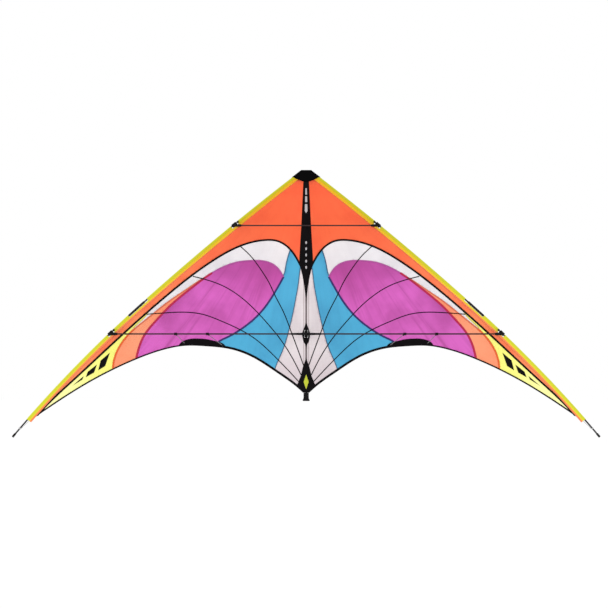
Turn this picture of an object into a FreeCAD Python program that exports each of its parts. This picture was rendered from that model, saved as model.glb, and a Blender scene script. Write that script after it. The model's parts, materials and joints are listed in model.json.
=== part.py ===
"""A framed delta kite for two flying lines, in millimetres.

+Z is up towards the nose, +X is to the right as the flyer sees the kite, and the front of the
sail faces -Y.  The origin is the middle of the bridle eye on the centre fitting.

The leading edge on each side is two arcs that meet inside a ferrule.  The sail of each wing is
part of one wide cone with its apex at the nose: its depth grows in proportion to the distance
from the apex, is nothing at the spine and at the leading edge, and is greatest between them.
Everything off the centre line is made for the +X wing, and the other wing is its mirror image.
"""
import FreeCAD, Part
import math
import os

import BOPTools.SplitAPI
import Sketcher

Vector = FreeCAD.Vector
Placement = FreeCAD.Placement
Rotation = FreeCAD.Rotation

ORIGIN = Vector(0, 0, 0)
X_AXIS = Vector(1, 0, 0)
Y_AXIS = Vector(0, 1, 0)
Z_AXIS = Vector(0, 0, 1)

DIMENSIONS = {
    # depth of each layer of the kite behind the bridle eye
    "spreader_depth": 9.0,
    "sail_depth": 18.5,
    "spine_depth": 22.9,
    # leading edge: its upper end, its slope from the vertical there, and its two arcs
    "edge_top_reach": 25.6,
    "edge_top_height": 596.0,
    "edge_top_slope": 52.5,
    "upper_edge_bend": 9800.0,
    "upper_edge_length": 770.0,
    "lower_edge_bend": 5040.0,
    "lower_edge_length": 676.0,
    # rods
    "edge_rod_radius": 3.0,
    "edge_rod_bore": 2.0,
    "spine_radius": 3.0,
    "spine_bore": 2.0,
    "spine_top": 600.0,
    "spine_bottom": -240.0,
    "upper_spreader_radius": 2.4,
    "upper_spreader_height": 402.0,
    "lower_spreader_radius": 2.75,
    "spreader_bore": 1.5,
    "standoff_radius": 1.25,
    "running_clearance": 0.05,
    # ferrule, nocks and caps
    "ferrule_length": 76.0,
    "ferrule_radius": 4.4,
    "ferrule_clearance": 0.2,
    "ferrule_beyond_join": 16.0,
    "bare_above_ferrule": 7.0,
    "nock_radius": 4.2,
    "nock_length": 14.0,
    "cap_radius": 3.5,
    "cap_length": 10.0,
    "cap_end": 2.0,
    # moulded fittings
    "socket_wall": 2.5,
    "edge_clamp_length": 20.0,
    "edge_clamp_radius": 6.6,
    "edge_socket_length": 29.0,
    "clamp_rise": 3.0,
    "centre_barrel_length": 26.0,
    "centre_barrel_radius": 6.2,
    "centre_arm_reach": 56.0,
    "centre_arm_radius": 4.8,
    "eye_radius": 1.6,
    "eye_ring_radius": 4.0,
    "eye_length": 4.0,
    # standoffs, from the lower spreader back to the trailing edge
    "outer_collar_reach": 484.0,
    "outer_clip_reach": 454.0,
    "inner_collar_reach": 366.0,
    "inner_clip_reach": 313.0,
    "clip_edge_margin": 9.0,
    "clip_gap": 4.0,
    "clip_radius": 2.3,
    "clip_flange_radius": 4.0,
    "collar_length": 11.0,
    "collar_radius": 5.0,
    "collar_socket_radius": 2.9,
    "collar_socket_reach": 14.0,
    # sail cloth
    "cloth_thickness": 0.3,
    "layer_pitch": 0.45,
    "billow": 0.165,
    "sleeve_radius": 3.9,
    "sleeve_width": 16.0,
    "sleeve_start": 10.0,
    "sleeve_end": 1363.0,
    "seam_tape_width": 6.5,
    "hem_width": 8.5,
    "fitting_window": 28.0,
    "ferrule_window": 94.0,
    "tail_cap_top": -218.0,
    "nose_thickness": 15.0,
    "cord_radius": 0.7,
}


def make_document():
    """The document and its sheet of driving dimensions."""
    document = FreeCAD.newDocument("DeltaKite")
    dimensions = document.addObject("Spreadsheet::Sheet", "Dimensions")
    for row, (alias, value) in enumerate(DIMENSIONS.items(), start=1):
        dimensions.set("A%d" % row, alias)
        dimensions.set("B%d" % row, str(value))
        dimensions.setAlias("B%d" % row, alias)
    document.recompute()
    return document, dimensions


doc, sheet = make_document()


def size(alias):
    """A driving dimension, read from the sheet."""
    return float(sheet.get(alias))


def cell(alias):
    """The expression that names a driving dimension."""
    return "<<Dimensions>>." + alias


SPREADER_Y = size("spreader_depth")
SAIL_Y = size("sail_depth")
SPINE_Y = size("spine_depth")
UPPER_SPREADER_Z = size("upper_spreader_height")


# ---------------------------------------------------------------- leading edge

def outward(slope):
    """Unit normal of the leading edge, away from the sail, at this slope from the vertical."""
    return Vector(math.cos(slope), 0, math.sin(slope))


def downward(slope):
    """Unit direction down the leading edge at this slope from the vertical."""
    return Vector(math.sin(slope), 0, -math.cos(slope))


class EdgeArc:
    """One arc of the leading edge, which bends down towards the wing tip."""

    def __init__(self, start, slope, bend, length):
        self.start_slope = slope
        self.bend = bend
        self.length = length
        self.centre = start - outward(slope) * bend
        self.end_slope = slope - length / bend
        self.end = self.centre + outward(self.end_slope) * bend

    def slope_at(self, distance):
        return self.start_slope - distance / self.bend

    def point_at(self, distance, inset=0.0, back=0.0):
        """The point this far down the arc, moved towards the sail and backwards."""
        spoke = outward(self.slope_at(distance)) * (self.bend - inset)
        return self.centre + spoke + Y_AXIS * back


UPPER = EdgeArc(
    Vector(size("edge_top_reach"), SAIL_Y, size("edge_top_height")),
    math.radians(size("edge_top_slope")), size("upper_edge_bend"), size("upper_edge_length"))
LOWER = EdgeArc(
    UPPER.end, UPPER.end_slope, size("lower_edge_bend"), size("lower_edge_length"))
EDGE_LENGTH = UPPER.length + LOWER.length
APEX_Z = UPPER.point_at(0).z + UPPER.point_at(0).x / math.tan(UPPER.start_slope)


def edge_arc(distance):
    """The arc at this distance down the leading edge, and the distance along that arc."""
    if distance <= UPPER.length:
        return UPPER, distance
    return LOWER, distance - UPPER.length


def edge_point(distance, inset=0.0, back=0.0):
    arc, local = edge_arc(distance)
    return arc.point_at(local, inset, back)


def edge_direction(distance):
    arc, local = edge_arc(distance)
    return downward(arc.slope_at(local))


def edge_distance(height):
    """How far down the leading edge it passes this height."""
    arc = UPPER if height > UPPER.end.z else LOWER
    slope = math.asin((height - arc.centre.z) / arc.bend)
    before = 0.0 if arc is UPPER else UPPER.length
    return before + (arc.start_slope - slope) * arc.bend


UPPER_CLAMP = edge_distance(UPPER_SPREADER_Z + size("clamp_rise"))
LOWER_CLAMP = edge_distance(size("clamp_rise"))
FERRULE_PLACE = UPPER.length + size("ferrule_beyond_join")


# ---------------------------------------------------------------- document objects

def along(start, direction):
    """Placement at start whose Z axis runs along direction."""
    return Placement(start, Rotation(Z_AXIS, Vector(direction)))


def add_sketch(body, name):
    """An empty sketch on the body's own XY plane."""
    planes = [item for item in body.Origin.OriginFeatures if item.Role == "XY_Plane"]
    sketch = body.newObject("Sketcher::SketchObject", name)
    sketch.AttachmentSupport = (planes[0], [""])
    sketch.MapMode = "FlatFace"
    return sketch


def add_circle(sketch, name, radius, reach=None):
    """A circle with its radius, and its reach along X if it has one, as expressions."""
    start = 0.0 if reach is None else 100.0
    circle = sketch.addGeometry(Part.Circle(Vector(start, 0, 0), Z_AXIS, 1.0))
    sketch.addConstraint(Sketcher.Constraint("PointOnObject", circle, 3, -1))
    if reach is None:
        sketch.addConstraint(Sketcher.Constraint("PointOnObject", circle, 3, -2))
    else:
        place = sketch.addConstraint(Sketcher.Constraint("DistanceX", -1, 1, circle, 3, start))
        sketch.renameConstraint(place, name + "_reach")
        sketch.setExpression("Constraints." + name + "_reach", reach)
    index = sketch.addConstraint(Sketcher.Constraint("Radius", circle, 1.0))
    sketch.renameConstraint(index, name)
    sketch.setExpression("Constraints." + name, radius)


def tube_body(label, outer, bore, length, placement):
    """A straight tube: one padded ring whose radii and length are expressions."""
    body = doc.addObject("PartDesign::Body", label)
    sketch = add_sketch(body, label + "_ring")
    add_circle(sketch, "outer", outer)
    add_circle(sketch, "bore", bore)
    tube = body.newObject("PartDesign::Pad", label + "_tube")
    tube.Profile = sketch
    tube.setExpression("Length", length)
    body.Placement = placement
    return body


def cap_body(label, outer, bore, length, end_radius, end, placement):
    """A cap over a rod: a tube, closed at its far end by a disc."""
    body = tube_body(label, outer, bore, length, placement)
    disc = add_sketch(body, label + "_disc")
    disc.setExpression("AttachmentOffset.Base.z", length)
    add_circle(disc, "end", end_radius)
    closed = body.newObject("PartDesign::Pad", label + "_end")
    closed.Profile = disc
    closed.setExpression("Length", end)
    return body


def bent_rod(label, arc, bend_alias, length_alias):
    """A hollow rod held in an arc: a ring turned about the arc's centre."""
    body = doc.addObject("PartDesign::Body", label)
    sketch = add_sketch(body, label + "_ring")
    add_circle(sketch, "outer", cell("edge_rod_radius"), cell(bend_alias))
    add_circle(sketch, "bore", cell("edge_rod_bore"), cell(bend_alias))
    turned = body.newObject("PartDesign::Revolution", label + "_turned")
    turned.Profile = sketch
    turned.ReferenceAxis = (sketch, ["V_Axis"])
    turned.setExpression("Angle", "%s / %s * 180 deg / pi" % (cell(length_alias), cell(bend_alias)))
    spoke = outward(arc.start_slope)
    body.Placement = Placement(arc.centre, Rotation(spoke, Y_AXIS, spoke.cross(Y_AXIS), "XYZ"))
    return body


def cylinder(name, radius, height, placement):
    """A cylinder whose radius and height are expressions."""
    item = doc.addObject("Part::Cylinder", name)
    item.setExpression("Radius", radius)
    item.setExpression("Height", height)
    item.Placement = placement
    return item


def cone(name, base_radius, top_radius, height, placement):
    """A cone whose radii and height are expressions."""
    item = doc.addObject("Part::Cone", name)
    item.setExpression("Radius1", base_radius)
    item.setExpression("Radius2", top_radius)
    item.setExpression("Height", height)
    item.Placement = placement
    return item


def box(name, corner, opposite, placement=None):
    """A box between two corners, given in the frame of its placement."""
    item = doc.addObject("Part::Box", name)
    span = opposite - corner
    item.Length = span.x
    item.Width = span.y
    item.Height = span.z
    base = Placement() if placement is None else placement
    item.Placement = base * Placement(corner, Rotation())
    return item


def drilled(label, solids, bores):
    """The sum of some solids, with all of the bores cut out of it."""
    whole = doc.addObject("Part::MultiFuse", label + "_whole")
    whole.Shapes = solids
    whole.Refine = False
    holes = bores[0]
    if len(bores) > 1:
        holes = doc.addObject("Part::MultiFuse", label + "_holes")
        holes.Shapes = bores
        holes.Refine = False
    result = doc.addObject("Part::Cut", label)
    result.Base = whole
    result.Tool = holes
    result.Refine = False
    return result


def mirror(source, label):
    """The same piece on the other wing."""
    item = doc.addObject("Part::Mirroring", label)
    item.Source = source
    item.Normal = X_AXIS
    return item


def feature(label, shape):
    """A sub-part whose shape is built by Part's own functions."""
    item = doc.addObject("Part::Feature", label)
    item.Shape = shape
    item.Placement = Placement()
    return item


# ---------------------------------------------------------------- frame

def rod_caps_and_nocks():
    """Caps inside the nose, and the nock on the end of the wing tip rod."""
    fit = cell("edge_rod_radius") + " + " + cell("running_clearance")
    cap_length = size("cap_length")
    edge_cap = cap_body(
        "nose_rod_cap_right", cell("cap_radius"), fit, cell("cap_length"), cell("cap_radius"),
        cell("cap_end"), along(edge_point(cap_length), edge_direction(0) * -1))
    spine_cap = cap_body(
        "spine_top_cap", cell("cap_radius"), fit, cell("cap_length"), cell("cap_radius"),
        cell("cap_end"), along(Vector(0, SPINE_Y, size("spine_top") - cap_length), Z_AXIS))
    nock = cap_body(
        "wing_tip_nock_right", cell("nock_radius"), fit, cell("nock_length"), cell("nock_radius"),
        cell("cap_end"),
        along(edge_point(EDGE_LENGTH - size("nock_length")), edge_direction(EDGE_LENGTH)))
    return [edge_cap, nock], [spine_cap]


def rods():
    """Leading edge rods with their ferrule, the spine and the spreaders."""
    ferrule_half = size("ferrule_length") / 2
    ferrule_way = edge_direction(FERRULE_PLACE)
    wing = [
        bent_rod("upper_edge_rod_right", UPPER, "upper_edge_bend", "upper_edge_length"),
        bent_rod("lower_edge_rod_right", LOWER, "lower_edge_bend", "lower_edge_length"),
        tube_body(
            "edge_ferrule_right", cell("ferrule_radius"),
            cell("edge_rod_radius") + " + " + cell("ferrule_clearance"), cell("ferrule_length"),
            along(edge_point(FERRULE_PLACE) - ferrule_way * ferrule_half, ferrule_way)),
        tube_body(
            "lower_spreader_rod_right", cell("lower_spreader_radius"), cell("spreader_bore"),
            "%.6f" % (LOWER_ROD_END - LOWER_ROD_START),
            along(Vector(LOWER_ROD_START, SPREADER_Y, 0), X_AXIS)),
    ]
    middle = [
        tube_body(
            "spine_rod", cell("spine_radius"), cell("spine_bore"),
            cell("spine_top") + " - " + cell("spine_bottom"),
            along(Vector(0, SPINE_Y, size("spine_bottom")), Z_AXIS)),
        tube_body(
            "upper_spreader_rod", cell("upper_spreader_radius"), cell("spreader_bore"),
            "%.6f" % (2 * UPPER_ROD_END),
            along(Vector(-UPPER_ROD_END, SPREADER_Y, UPPER_SPREADER_Z), X_AXIS)),
    ]
    return wing, middle


# where the spreader rods end, a little short of the bottom of their sockets
SOCKET_FLOOR = 3.0
ROD_END_GAP = 0.5
CENTRE_SOCKET_FLOOR = 8.0
UPPER_ROD_END = edge_point(UPPER_CLAMP).x - SOCKET_FLOOR - ROD_END_GAP
LOWER_ROD_START = CENTRE_SOCKET_FLOOR + ROD_END_GAP
LOWER_ROD_END = edge_point(LOWER_CLAMP).x - SOCKET_FLOOR - ROD_END_GAP


def edge_fitting(label, station, height, spreader_radius):
    """A moulded clip: a clamp on the leading edge rod, a socket for the spreader, a bridle eye."""
    place = edge_point(station)
    way = edge_direction(station)
    clamp_length = size("edge_clamp_length")
    inboard = X_AXIS * -1
    socket_start = Vector(place.x + SOCKET_FLOOR, SPREADER_Y, height)
    mouth_taper = 7.0
    socket_length = size("edge_socket_length") - mouth_taper
    socket_radius = cell(spreader_radius) + " + " + cell("socket_wall")
    clamp_fit = cell("edge_rod_radius") + " + " + cell("running_clearance")
    socket_fit = cell(spreader_radius) + " + " + cell("running_clearance")
    eye = eye_place(station)
    eye_back = eye + Y_AXIS * (size("eye_length") / 2)
    arm_half = 2.6
    arm_frame = Placement(Vector(place.x, eye.y, place.z), Rotation(way, Y_AXIS, Vector(), "XYZ"))
    eye_distance = (Vector(place.x, eye.y, place.z) - eye).Length
    arm_corner = Vector(-eye_distance, -size("eye_length") / 2, -arm_half)
    arm_opposite = Vector(2.0, size("eye_length") / 2, arm_half)
    web_corner = Vector(place.x - 7.0, SPREADER_Y - 1.3, height - 3.1)
    web_opposite = Vector(place.x + SOCKET_FLOOR - 0.6, SAIL_Y - 0.4, place.z + 2.8)
    solids = [
        cylinder(label + "_clamp", cell("edge_clamp_radius"), cell("edge_clamp_length"),
                 along(place - way * (clamp_length / 2), way)),
        cylinder(label + "_socket", socket_radius, str(socket_length),
                 along(socket_start, inboard)),
        cone(label + "_mouth", socket_radius, socket_radius + " - 0.8", str(mouth_taper),
             along(socket_start + inboard * socket_length, inboard)),
        box(label + "_web", web_corner, web_opposite),
        box(label + "_arm", arm_corner, arm_opposite, arm_frame),
        cylinder(label + "_ring", cell("eye_ring_radius"), cell("eye_length"),
                 along(eye_back, Y_AXIS * -1)),
    ]
    bores = [
        cylinder(label + "_clamp_bore", clamp_fit, "3 * " + cell("edge_clamp_length"),
                 along(place - way * (1.5 * clamp_length), way)),
        cylinder(label + "_socket_bore", socket_fit, cell("edge_socket_length"),
                 along(socket_start + inboard * (2 * SOCKET_FLOOR), inboard)),
        cylinder(label + "_eye_bore", cell("eye_radius"), "3 * " + cell("eye_length"),
                 along(eye_back + Y_AXIS * size("eye_length"), Y_AXIS * -1)),
    ]
    return drilled(label, solids, bores)


def eye_place(station):
    """The middle of the bridle eye beside a leading edge clamp, in front of the sleeve."""
    above = 17.0
    depth = SAIL_Y - size("sleeve_radius") - 0.6 - size("eye_length") / 2
    place = edge_point(station) - edge_direction(station) * above
    return Vector(place.x, depth, place.z)


def centre_fitting():
    """The cross that clips on the spine, takes both lower spreaders and carries the bridle eye."""
    reach = size("centre_arm_reach")
    half_barrel = size("centre_barrel_length") / 2
    neck_half_width = 6.5
    neck_half_height = 8.0
    lug_half = size("eye_length") / 2
    ring = size("eye_ring_radius")
    arm_start = Vector(0, SPREADER_Y, 0)
    arm_tip = cell("lower_spreader_radius") + " + 0.8"
    spine_fit = cell("spine_radius") + " + " + cell("running_clearance")
    rod_fit = cell("lower_spreader_radius") + " + " + cell("running_clearance")
    solids = [
        cylinder("centre_barrel", cell("centre_barrel_radius"), cell("centre_barrel_length"),
                 along(Vector(0, SPINE_Y, -half_barrel), Z_AXIS)),
        box("centre_neck", Vector(-neck_half_width, SPREADER_Y - 4.0, -neck_half_height),
            Vector(neck_half_width, SPINE_Y, neck_half_height)),
        box("centre_lug", Vector(-lug_half, 0, -ring), Vector(lug_half, SPREADER_Y, ring)),
        cylinder("centre_ring", cell("eye_ring_radius"), cell("eye_length"),
                 along(Vector(-lug_half, 0, 0), X_AXIS)),
    ]
    bores = [
        cylinder("centre_spine_bore", spine_fit, "3 * " + cell("centre_barrel_length"),
                 along(Vector(0, SPINE_Y, -3 * half_barrel), Z_AXIS)),
        cylinder("centre_eye_bore", cell("eye_radius"), "3 * " + cell("eye_length"),
                 along(Vector(-3 * lug_half, 0, 0), X_AXIS)),
    ]
    for name, way in (("right", X_AXIS), ("left", X_AXIS * -1)):
        solids.append(cone("centre_arm_" + name, cell("centre_arm_radius"), arm_tip,
                           cell("centre_arm_reach"), along(arm_start, way)))
        bores.append(cylinder("centre_bore_" + name, rod_fit, "%.6f" % reach,
                              along(arm_start + way * CENTRE_SOCKET_FLOOR, way)))
    return drilled("centre_fitting", solids, bores)


# ---------------------------------------------------------------- sail

def polar(reach, height):
    """Distance from the apex and angle from the spine of a point of the sail."""
    return math.hypot(reach, APEX_Z - height), math.atan2(reach, APEX_Z - height)


def sail_point(distance, share):
    """A point of the sail: at the leading edge's distance, this share of the way out from the spine."""
    edge = edge_point(distance)
    radius, edge_angle = polar(edge.x, edge.z)
    angle = share * edge_angle
    back = radius * size("billow") * math.sin(math.pi * share)
    return Vector(radius * math.sin(angle), SAIL_Y + back, APEX_Z - radius * math.cos(angle))


def edge_angle_at(radius):
    """The leading edge's angle from the spine at this distance from the apex, by halving."""
    near, far = -60.0, EDGE_LENGTH + 60.0
    for _ in range(40):
        middle = (near + far) / 2
        edge = edge_point(middle)
        if polar(edge.x, edge.z)[0] < radius:
            near = middle
        else:
            far = middle
    return polar(edge.x, edge.z)[1]


def sail_back(reach, height):
    """How deep the sail lies at this place of the right wing."""
    radius, angle = polar(reach, height)
    share = angle / edge_angle_at(radius)
    return SAIL_Y + radius * size("billow") * math.sin(math.pi * share)


def wing_slab(layer):
    """The right wing's cone as a thin solid: layer 0 is the cloth, and the next ones lie in front."""
    first = -20.0
    rows = 18
    columns = 10
    grid = []
    for row in range(rows + 1):
        distance = first + (EDGE_LENGTH + 20.0 - first) * row / rows
        grid.append([sail_point(distance, column / columns) for column in range(columns + 1)])
    surface = Part.BSplineSurface()
    surface.interpolate(grid)
    face = surface.toShape()
    face.translate(Vector(0, -layer * size("layer_pitch"), 0))
    return face.extrude(Vector(0, size("cloth_thickness"), 0))


FAR_FRONT = -100.0
FAR_DEPTH = 500.0
FAR_REACH = 1300.0
FAR_TOP = 800.0
FAR_BOTTOM = -700.0


def flat(reach, height):
    """A point of an outline, in the plane in front of the whole kite."""
    return Vector(reach, FAR_FRONT, height)


def smooth(points):
    """A smooth edge through points of an outline."""
    curve = Part.BSplineCurve()
    curve.interpolate([flat(*point) for point in points])
    return curve.toShape()


def straight(points):
    """Straight edges through points of an outline."""
    vectors = [flat(*point) for point in points]
    return [Part.makeLine(*pair) for pair in zip(vectors, vectors[1:])]


def prism(edges):
    """Everything behind a closed outline, through the whole depth of the kite."""
    face = Part.Face(Part.Wire(Part.__sortEdges__(edges)))
    return face.extrude(Vector(0, FAR_DEPTH, 0))


def polygon_prism(points):
    return prism(straight(points + points[:1]))


TRAILING_EDGE = [
    (0, -229), (33, -199), (112, -143), (201, -88), (290, -57), (380, -47), (454, -45.5),
    (513, -55), (647, -101), (825, -191), (959, -277), (1004, -308), (1040, -334)]
SEAM = [
    (0, 137), (10.4, 225), (38, 285), (68, 323), (112, 347), (157, 349), (246, 327), (335, 280),
    (513, 147), (691, -10), (870, -176), (959, -260), (1012, -318)]
EYE_TOP = [
    (640, -125), (632, -84), (602, -4), (558, 50), (513, 98), (424, 173), (335, 236), (246, 269),
    (201, 273), (157, 271), (112, 251), (84, 212)]
EYE_FOOT = [
    (84, 212), (112, 162), (157, 95), (201, 49), (246, 15), (290, -11), (324, -28), (360, -62)]
ORANGE_OUTER_EDGE = [
    (722, -160), (715, -96), (691, -42), (647, 11), (602, 48), (513, 119), (424, 180),
    (380, 208), (330, 225)]
BLUE_OUTER_EDGE = [(52, 345), (59, 314), (68, 286), (77, 245), (87, 214), (115, 196)]
BLUE_INNER_EDGE = [
    (16, 275), (23, 236), (28, 194), (39, 129), (53.5, 57), (67, 3), (86, -58), (112, -119),
    (125, -160)]
YELLOW_EDGE = [(566, 128), (580, 95), (603, 60), (647, 16), (665, -18)]
STRIP = [
    (0, 567), (10.4, 567), (18, 402), (24.7, 292), (25.4, 275), (23.6, 255), (19, 236), (13.7, 216),
    (7, 177), (2.5, 138), (0, 112)]
EDGE_PATCH = [
    (478, -75), (474, -40), (436, -20), (404, -18.5), (369, -21.5), (339, -28), (312, -37),
    (301, -48), (290, -85)]
TAIL_PATCH = [(0, -89), (12.6, -124), (19.7, -155), (36, -200), (60, -240), (0, -240)]
TAIL_NECK = 9.8
CENTRE_PATCH = [(0, 46), (4, 33), (15.6, 2), (15.6, -3), (10, -30), (4, -38), (0, -58)]


def inside_sleeve():
    """Everything inboard of the leading edge sleeve."""
    inset = size("sleeve_width") + 0.3
    first, last = -14.0, LOWER.length + 60.0
    upper = [UPPER.point_at(d, inset) for d in (first, UPPER.length / 2, UPPER.length)]
    lower = [LOWER.point_at(d, inset) for d in (0.0, LOWER.length / 2, last)]
    arcs = []
    for stretch in (upper, lower):
        arcs.append(Part.Arc(*[flat(point.x, point.z) for point in stretch]).toShape())
    top, tip = upper[0], lower[2]
    return prism(arcs + straight([
        (tip.x, tip.z), (tip.x, FAR_BOTTOM), (0, FAR_BOTTOM), (0, top.z), (top.x, top.z)]))


def above_trailing_edge(lift=0.0):
    """Everything above the trailing edge, or above a line lifted from it."""
    points = [(reach, height + lift) for reach, height in TRAILING_EDGE]
    end = points[-1]
    return prism([smooth(points)] + straight([
        end, (FAR_REACH, end[1]), (FAR_REACH, FAR_TOP), (0, FAR_TOP), points[0]]))


def ribbon(points, width):
    """Everything behind a ribbon of constant width along a smooth line."""
    samples = 40
    curve = smooth(points).Curve
    first, last = curve.FirstParameter, curve.LastParameter
    sides = ([], [])
    for index in range(samples + 1):
        parameter = first + (last - first) * index / samples
        point = curve.value(parameter)
        tangent = curve.tangent(parameter)[0]
        across = Vector(-tangent.z, 0, tangent.x) * (width / 2)
        sides[0].append((point.x + across.x, point.z + across.z))
        sides[1].append((point.x - across.x, point.z - across.z))
    ends = straight([sides[0][0], sides[1][0]]) + straight([sides[0][-1], sides[1][-1]])
    return prism([smooth(sides[0]), smooth(sides[1])] + ends)


def nose_outline():
    """Half of the nose piece, seen from the front, a little outside the sleeves."""
    outside = -size("sleeve_radius") - 1.6
    top, corner = UPPER.point_at(-13.0, outside), UPPER.point_at(31.0, outside)
    return [(0, top.z), (top.x, top.z), (corner.x, corner.z), (11.0, 565.5), (0, 565.5)]


def centre_hole():
    """The hole in the cloth that the centre fitting passes through."""
    half_width, half_height = 7.0, 13.8
    return polygon_prism([(-half_width, -half_height), (half_width, -half_height),
                          (half_width, half_height), (-half_width, half_height)])


def tail_notch():
    """The notch in the foot of the sail where the tail cap's neck sits."""
    half_width = TAIL_NECK + 0.8
    top = size("tail_cap_top") + 0.5
    return polygon_prism([(-half_width, FAR_BOTTOM), (half_width, FAR_BOTTOM),
                          (half_width, top), (-half_width, top)])


def divide(solid, sample, *lines):
    """Cuts a piece of cloth along smooth lines: first the piece at the sample, then the other."""
    cutter = Part.Wire([smooth(line) for line in lines]).extrude(Vector(0, FAR_DEPTH, 0))
    pieces = BOPTools.SplitAPI.slice(solid, [cutter], "Split").Solids
    if len(pieces) != 2:
        raise ValueError("a seam must cut its cloth in two, not in %d" % len(pieces))
    start = flat(*sample)
    probe = Part.makeLine(start, start + Vector(0, FAR_DEPTH, 0))
    pieces.sort(key=lambda piece: piece.common(probe).Length, reverse=True)
    return pieces


def panels():
    """The seven panels of cloth of the right wing."""
    nose = polygon_prism(nose_outline())
    cloth = wing_slab(0).common(inside_sleeve()).common(above_trailing_edge())
    cloth = cloth.cut([nose, centre_hole(), tail_notch()]).Solids[0]
    upper_orange, lower = divide(cloth, (300, 330), SEAM)
    magenta, ring = divide(lower, (300, 100), EYE_TOP, EYE_FOOT)
    outer_orange, rest = divide(ring, (660, -40), ORANGE_OUTER_EDGE)
    inner, outer = divide(rest, (40, 100), BLUE_OUTER_EDGE)
    blue, inner_white = divide(inner, (150, 20), BLUE_INNER_EDGE)
    upper_white, yellow = divide(outer, (200, 310), YELLOW_EDGE)
    return {
        "upper_orange_panel": upper_orange,
        "magenta_panel": magenta,
        "outer_orange_panel": outer_orange,
        "blue_panel": blue,
        "inner_white_panel": inner_white,
        "upper_white_panel": upper_white,
        "yellow_tip_panel": yellow,
    }


def tapes_and_patches():
    """Tape, hem and patch that lie on the front of the right wing."""
    inside = inside_sleeve()
    above = above_trailing_edge()
    band = above.cut(above_trailing_edge(size("hem_width")))
    first_layer = wing_slab(1).common(inside)
    hem = first_layer.common(band).cut(tail_notch())
    strip = polygon_prism(STRIP)
    tape = first_layer.common(ribbon(SEAM, size("seam_tape_width"))).cut(strip)
    tape = tape.common(above_trailing_edge(size("hem_width")))
    tape = max(tape.Solids, key=lambda piece: piece.Volume)
    patch_outline = prism([smooth(EDGE_PATCH)] + straight([EDGE_PATCH[0], EDGE_PATCH[-1]]))
    patch = wing_slab(2).common(patch_outline).common(above)
    return {
        "trailing_hem": hem,
        "seam_tape": tape,
        "trailing_patch": patch,
    }


def both_halves(half):
    """A piece on the centre line: one half and its mirror image, in one solid."""
    return half.fuse(half.mirror(ORIGIN, X_AXIS)).removeSplitter()


def centre_cloth():
    """The strip, patches and pocket along the spine, and the folded nose piece."""
    nose = polygon_prism(nose_outline())
    strip = wing_slab(1).common(polygon_prism(STRIP)).cut(nose)
    patch = wing_slab(1).common(polygon_prism(CENTRE_PATCH)).cut(centre_hole())
    tail = wing_slab(2).common(polygon_prism(TAIL_PATCH)).common(above_trailing_edge())
    tail = tail.cut(tail_notch())
    return {
        "spine_strip": both_halves(strip),
        "centre_patch": both_halves(patch),
        "tail_patch": both_halves(tail),
        "spine_pocket": spine_pocket(),
        "nose_piece": nose_piece(),
        "tail_cap": tail_cap(),
    }


def spine_pocket():
    """The pocket behind the sail that holds the spine, open round the centre fitting."""
    half_width = 9.5
    sail_slope = 0.66
    opening = 17.0
    lowest, highest = size("tail_cap_top") + 1.5, 562.0
    rim = SAIL_Y + half_width * sail_slope
    crown = SPINE_Y + size("spine_radius") + 0.5
    thick = size("cloth_thickness")
    stretches = []
    for bottom, top in ((lowest, -opening), (opening, highest)):
        inner = Part.Arc(Vector(-half_width, rim, bottom), Vector(0, crown, bottom),
                         Vector(half_width, rim, bottom)).toShape()
        outer = Part.Arc(Vector(-half_width, rim + thick, bottom),
                         Vector(0, crown + thick, bottom),
                         Vector(half_width, rim + thick, bottom)).toShape()
        ends = [Part.makeLine(Vector(side, rim, bottom), Vector(side, rim + thick, bottom))
                for side in (-half_width, half_width)]
        face = Part.Face(Part.Wire(Part.__sortEdges__([inner, outer] + ends)))
        stretches.append(face.extrude(Vector(0, 0, top - bottom)))
    return Part.Compound(stretches)


def nose_piece():
    """The folded nose webbing, with a pocket for the spine and one for each leading edge rod."""
    half = polygon_prism(nose_outline())
    front = SAIL_Y - 5.5
    slab = Part.makeBox(400, size("nose_thickness"), 200, Vector(-200, front, 500))
    whole = both_halves(half.common(slab))
    fit = size("cap_radius") + size("running_clearance")
    way = edge_direction(0)
    pocket = Part.makeCylinder(fit, 90, edge_point(0) - way * (size("cap_end") + 1), way)
    spine_top = size("spine_top") + size("cap_end") + 1
    spine = Part.makeCylinder(fit, 90, Vector(0, SPINE_Y, spine_top), Z_AXIS * -1)
    return whole.cut([pocket, pocket.mirror(ORIGIN, X_AXIS), spine])


def tail_cap():
    """The flared rubber end on the bottom of the spine."""
    top, waist, foot = size("tail_cap_top"), -238.0, -249.0
    neck, flare = TAIL_NECK, 12.8
    depth = 12.0
    outline = [(-neck, top), (neck, top), (neck, waist), (flare, foot + 3.5), (flare, foot),
               (-flare, foot), (-flare, foot + 3.5), (-neck, waist)]
    slab = Part.makeBox(100, depth, 100, Vector(-50, SPINE_Y - depth / 2, -300))
    bore = Part.makeCylinder(size("spine_radius") + size("running_clearance"), 60,
                             Vector(0, SPINE_Y, size("spine_bottom") - 1), Z_AXIS)
    return polygon_prism(outline).common(slab).cut(bore)


def teardrop(arc, distance, radius, length):
    """The sleeve's section: round the rod, closing to a line where it is sewn to the sail."""
    edge_angle = polar(UPPER.end.x, UPPER.end.z)[1]
    lean = math.atan(size("billow") * math.pi / edge_angle)
    spread = math.acos(radius / length)

    def place(angle, reach):
        return arc.point_at(distance, reach * math.cos(angle), reach * math.sin(angle))

    upper, lower = place(lean + spread, radius), place(lean - spread, radius)
    round_side = Part.Arc(upper, place(lean + math.pi, radius), lower).toShape()
    tip = place(lean, length)
    wire = Part.Wire([round_side, Part.makeLine(lower, tip), Part.makeLine(tip, upper)])
    return Part.Face(wire)


def turn_along(face, arc, length):
    """A section turned along an arc of the leading edge, towards the wing tip."""
    return face.revolve(arc.centre, Y_AXIS, math.degrees(length / arc.bend))


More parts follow.
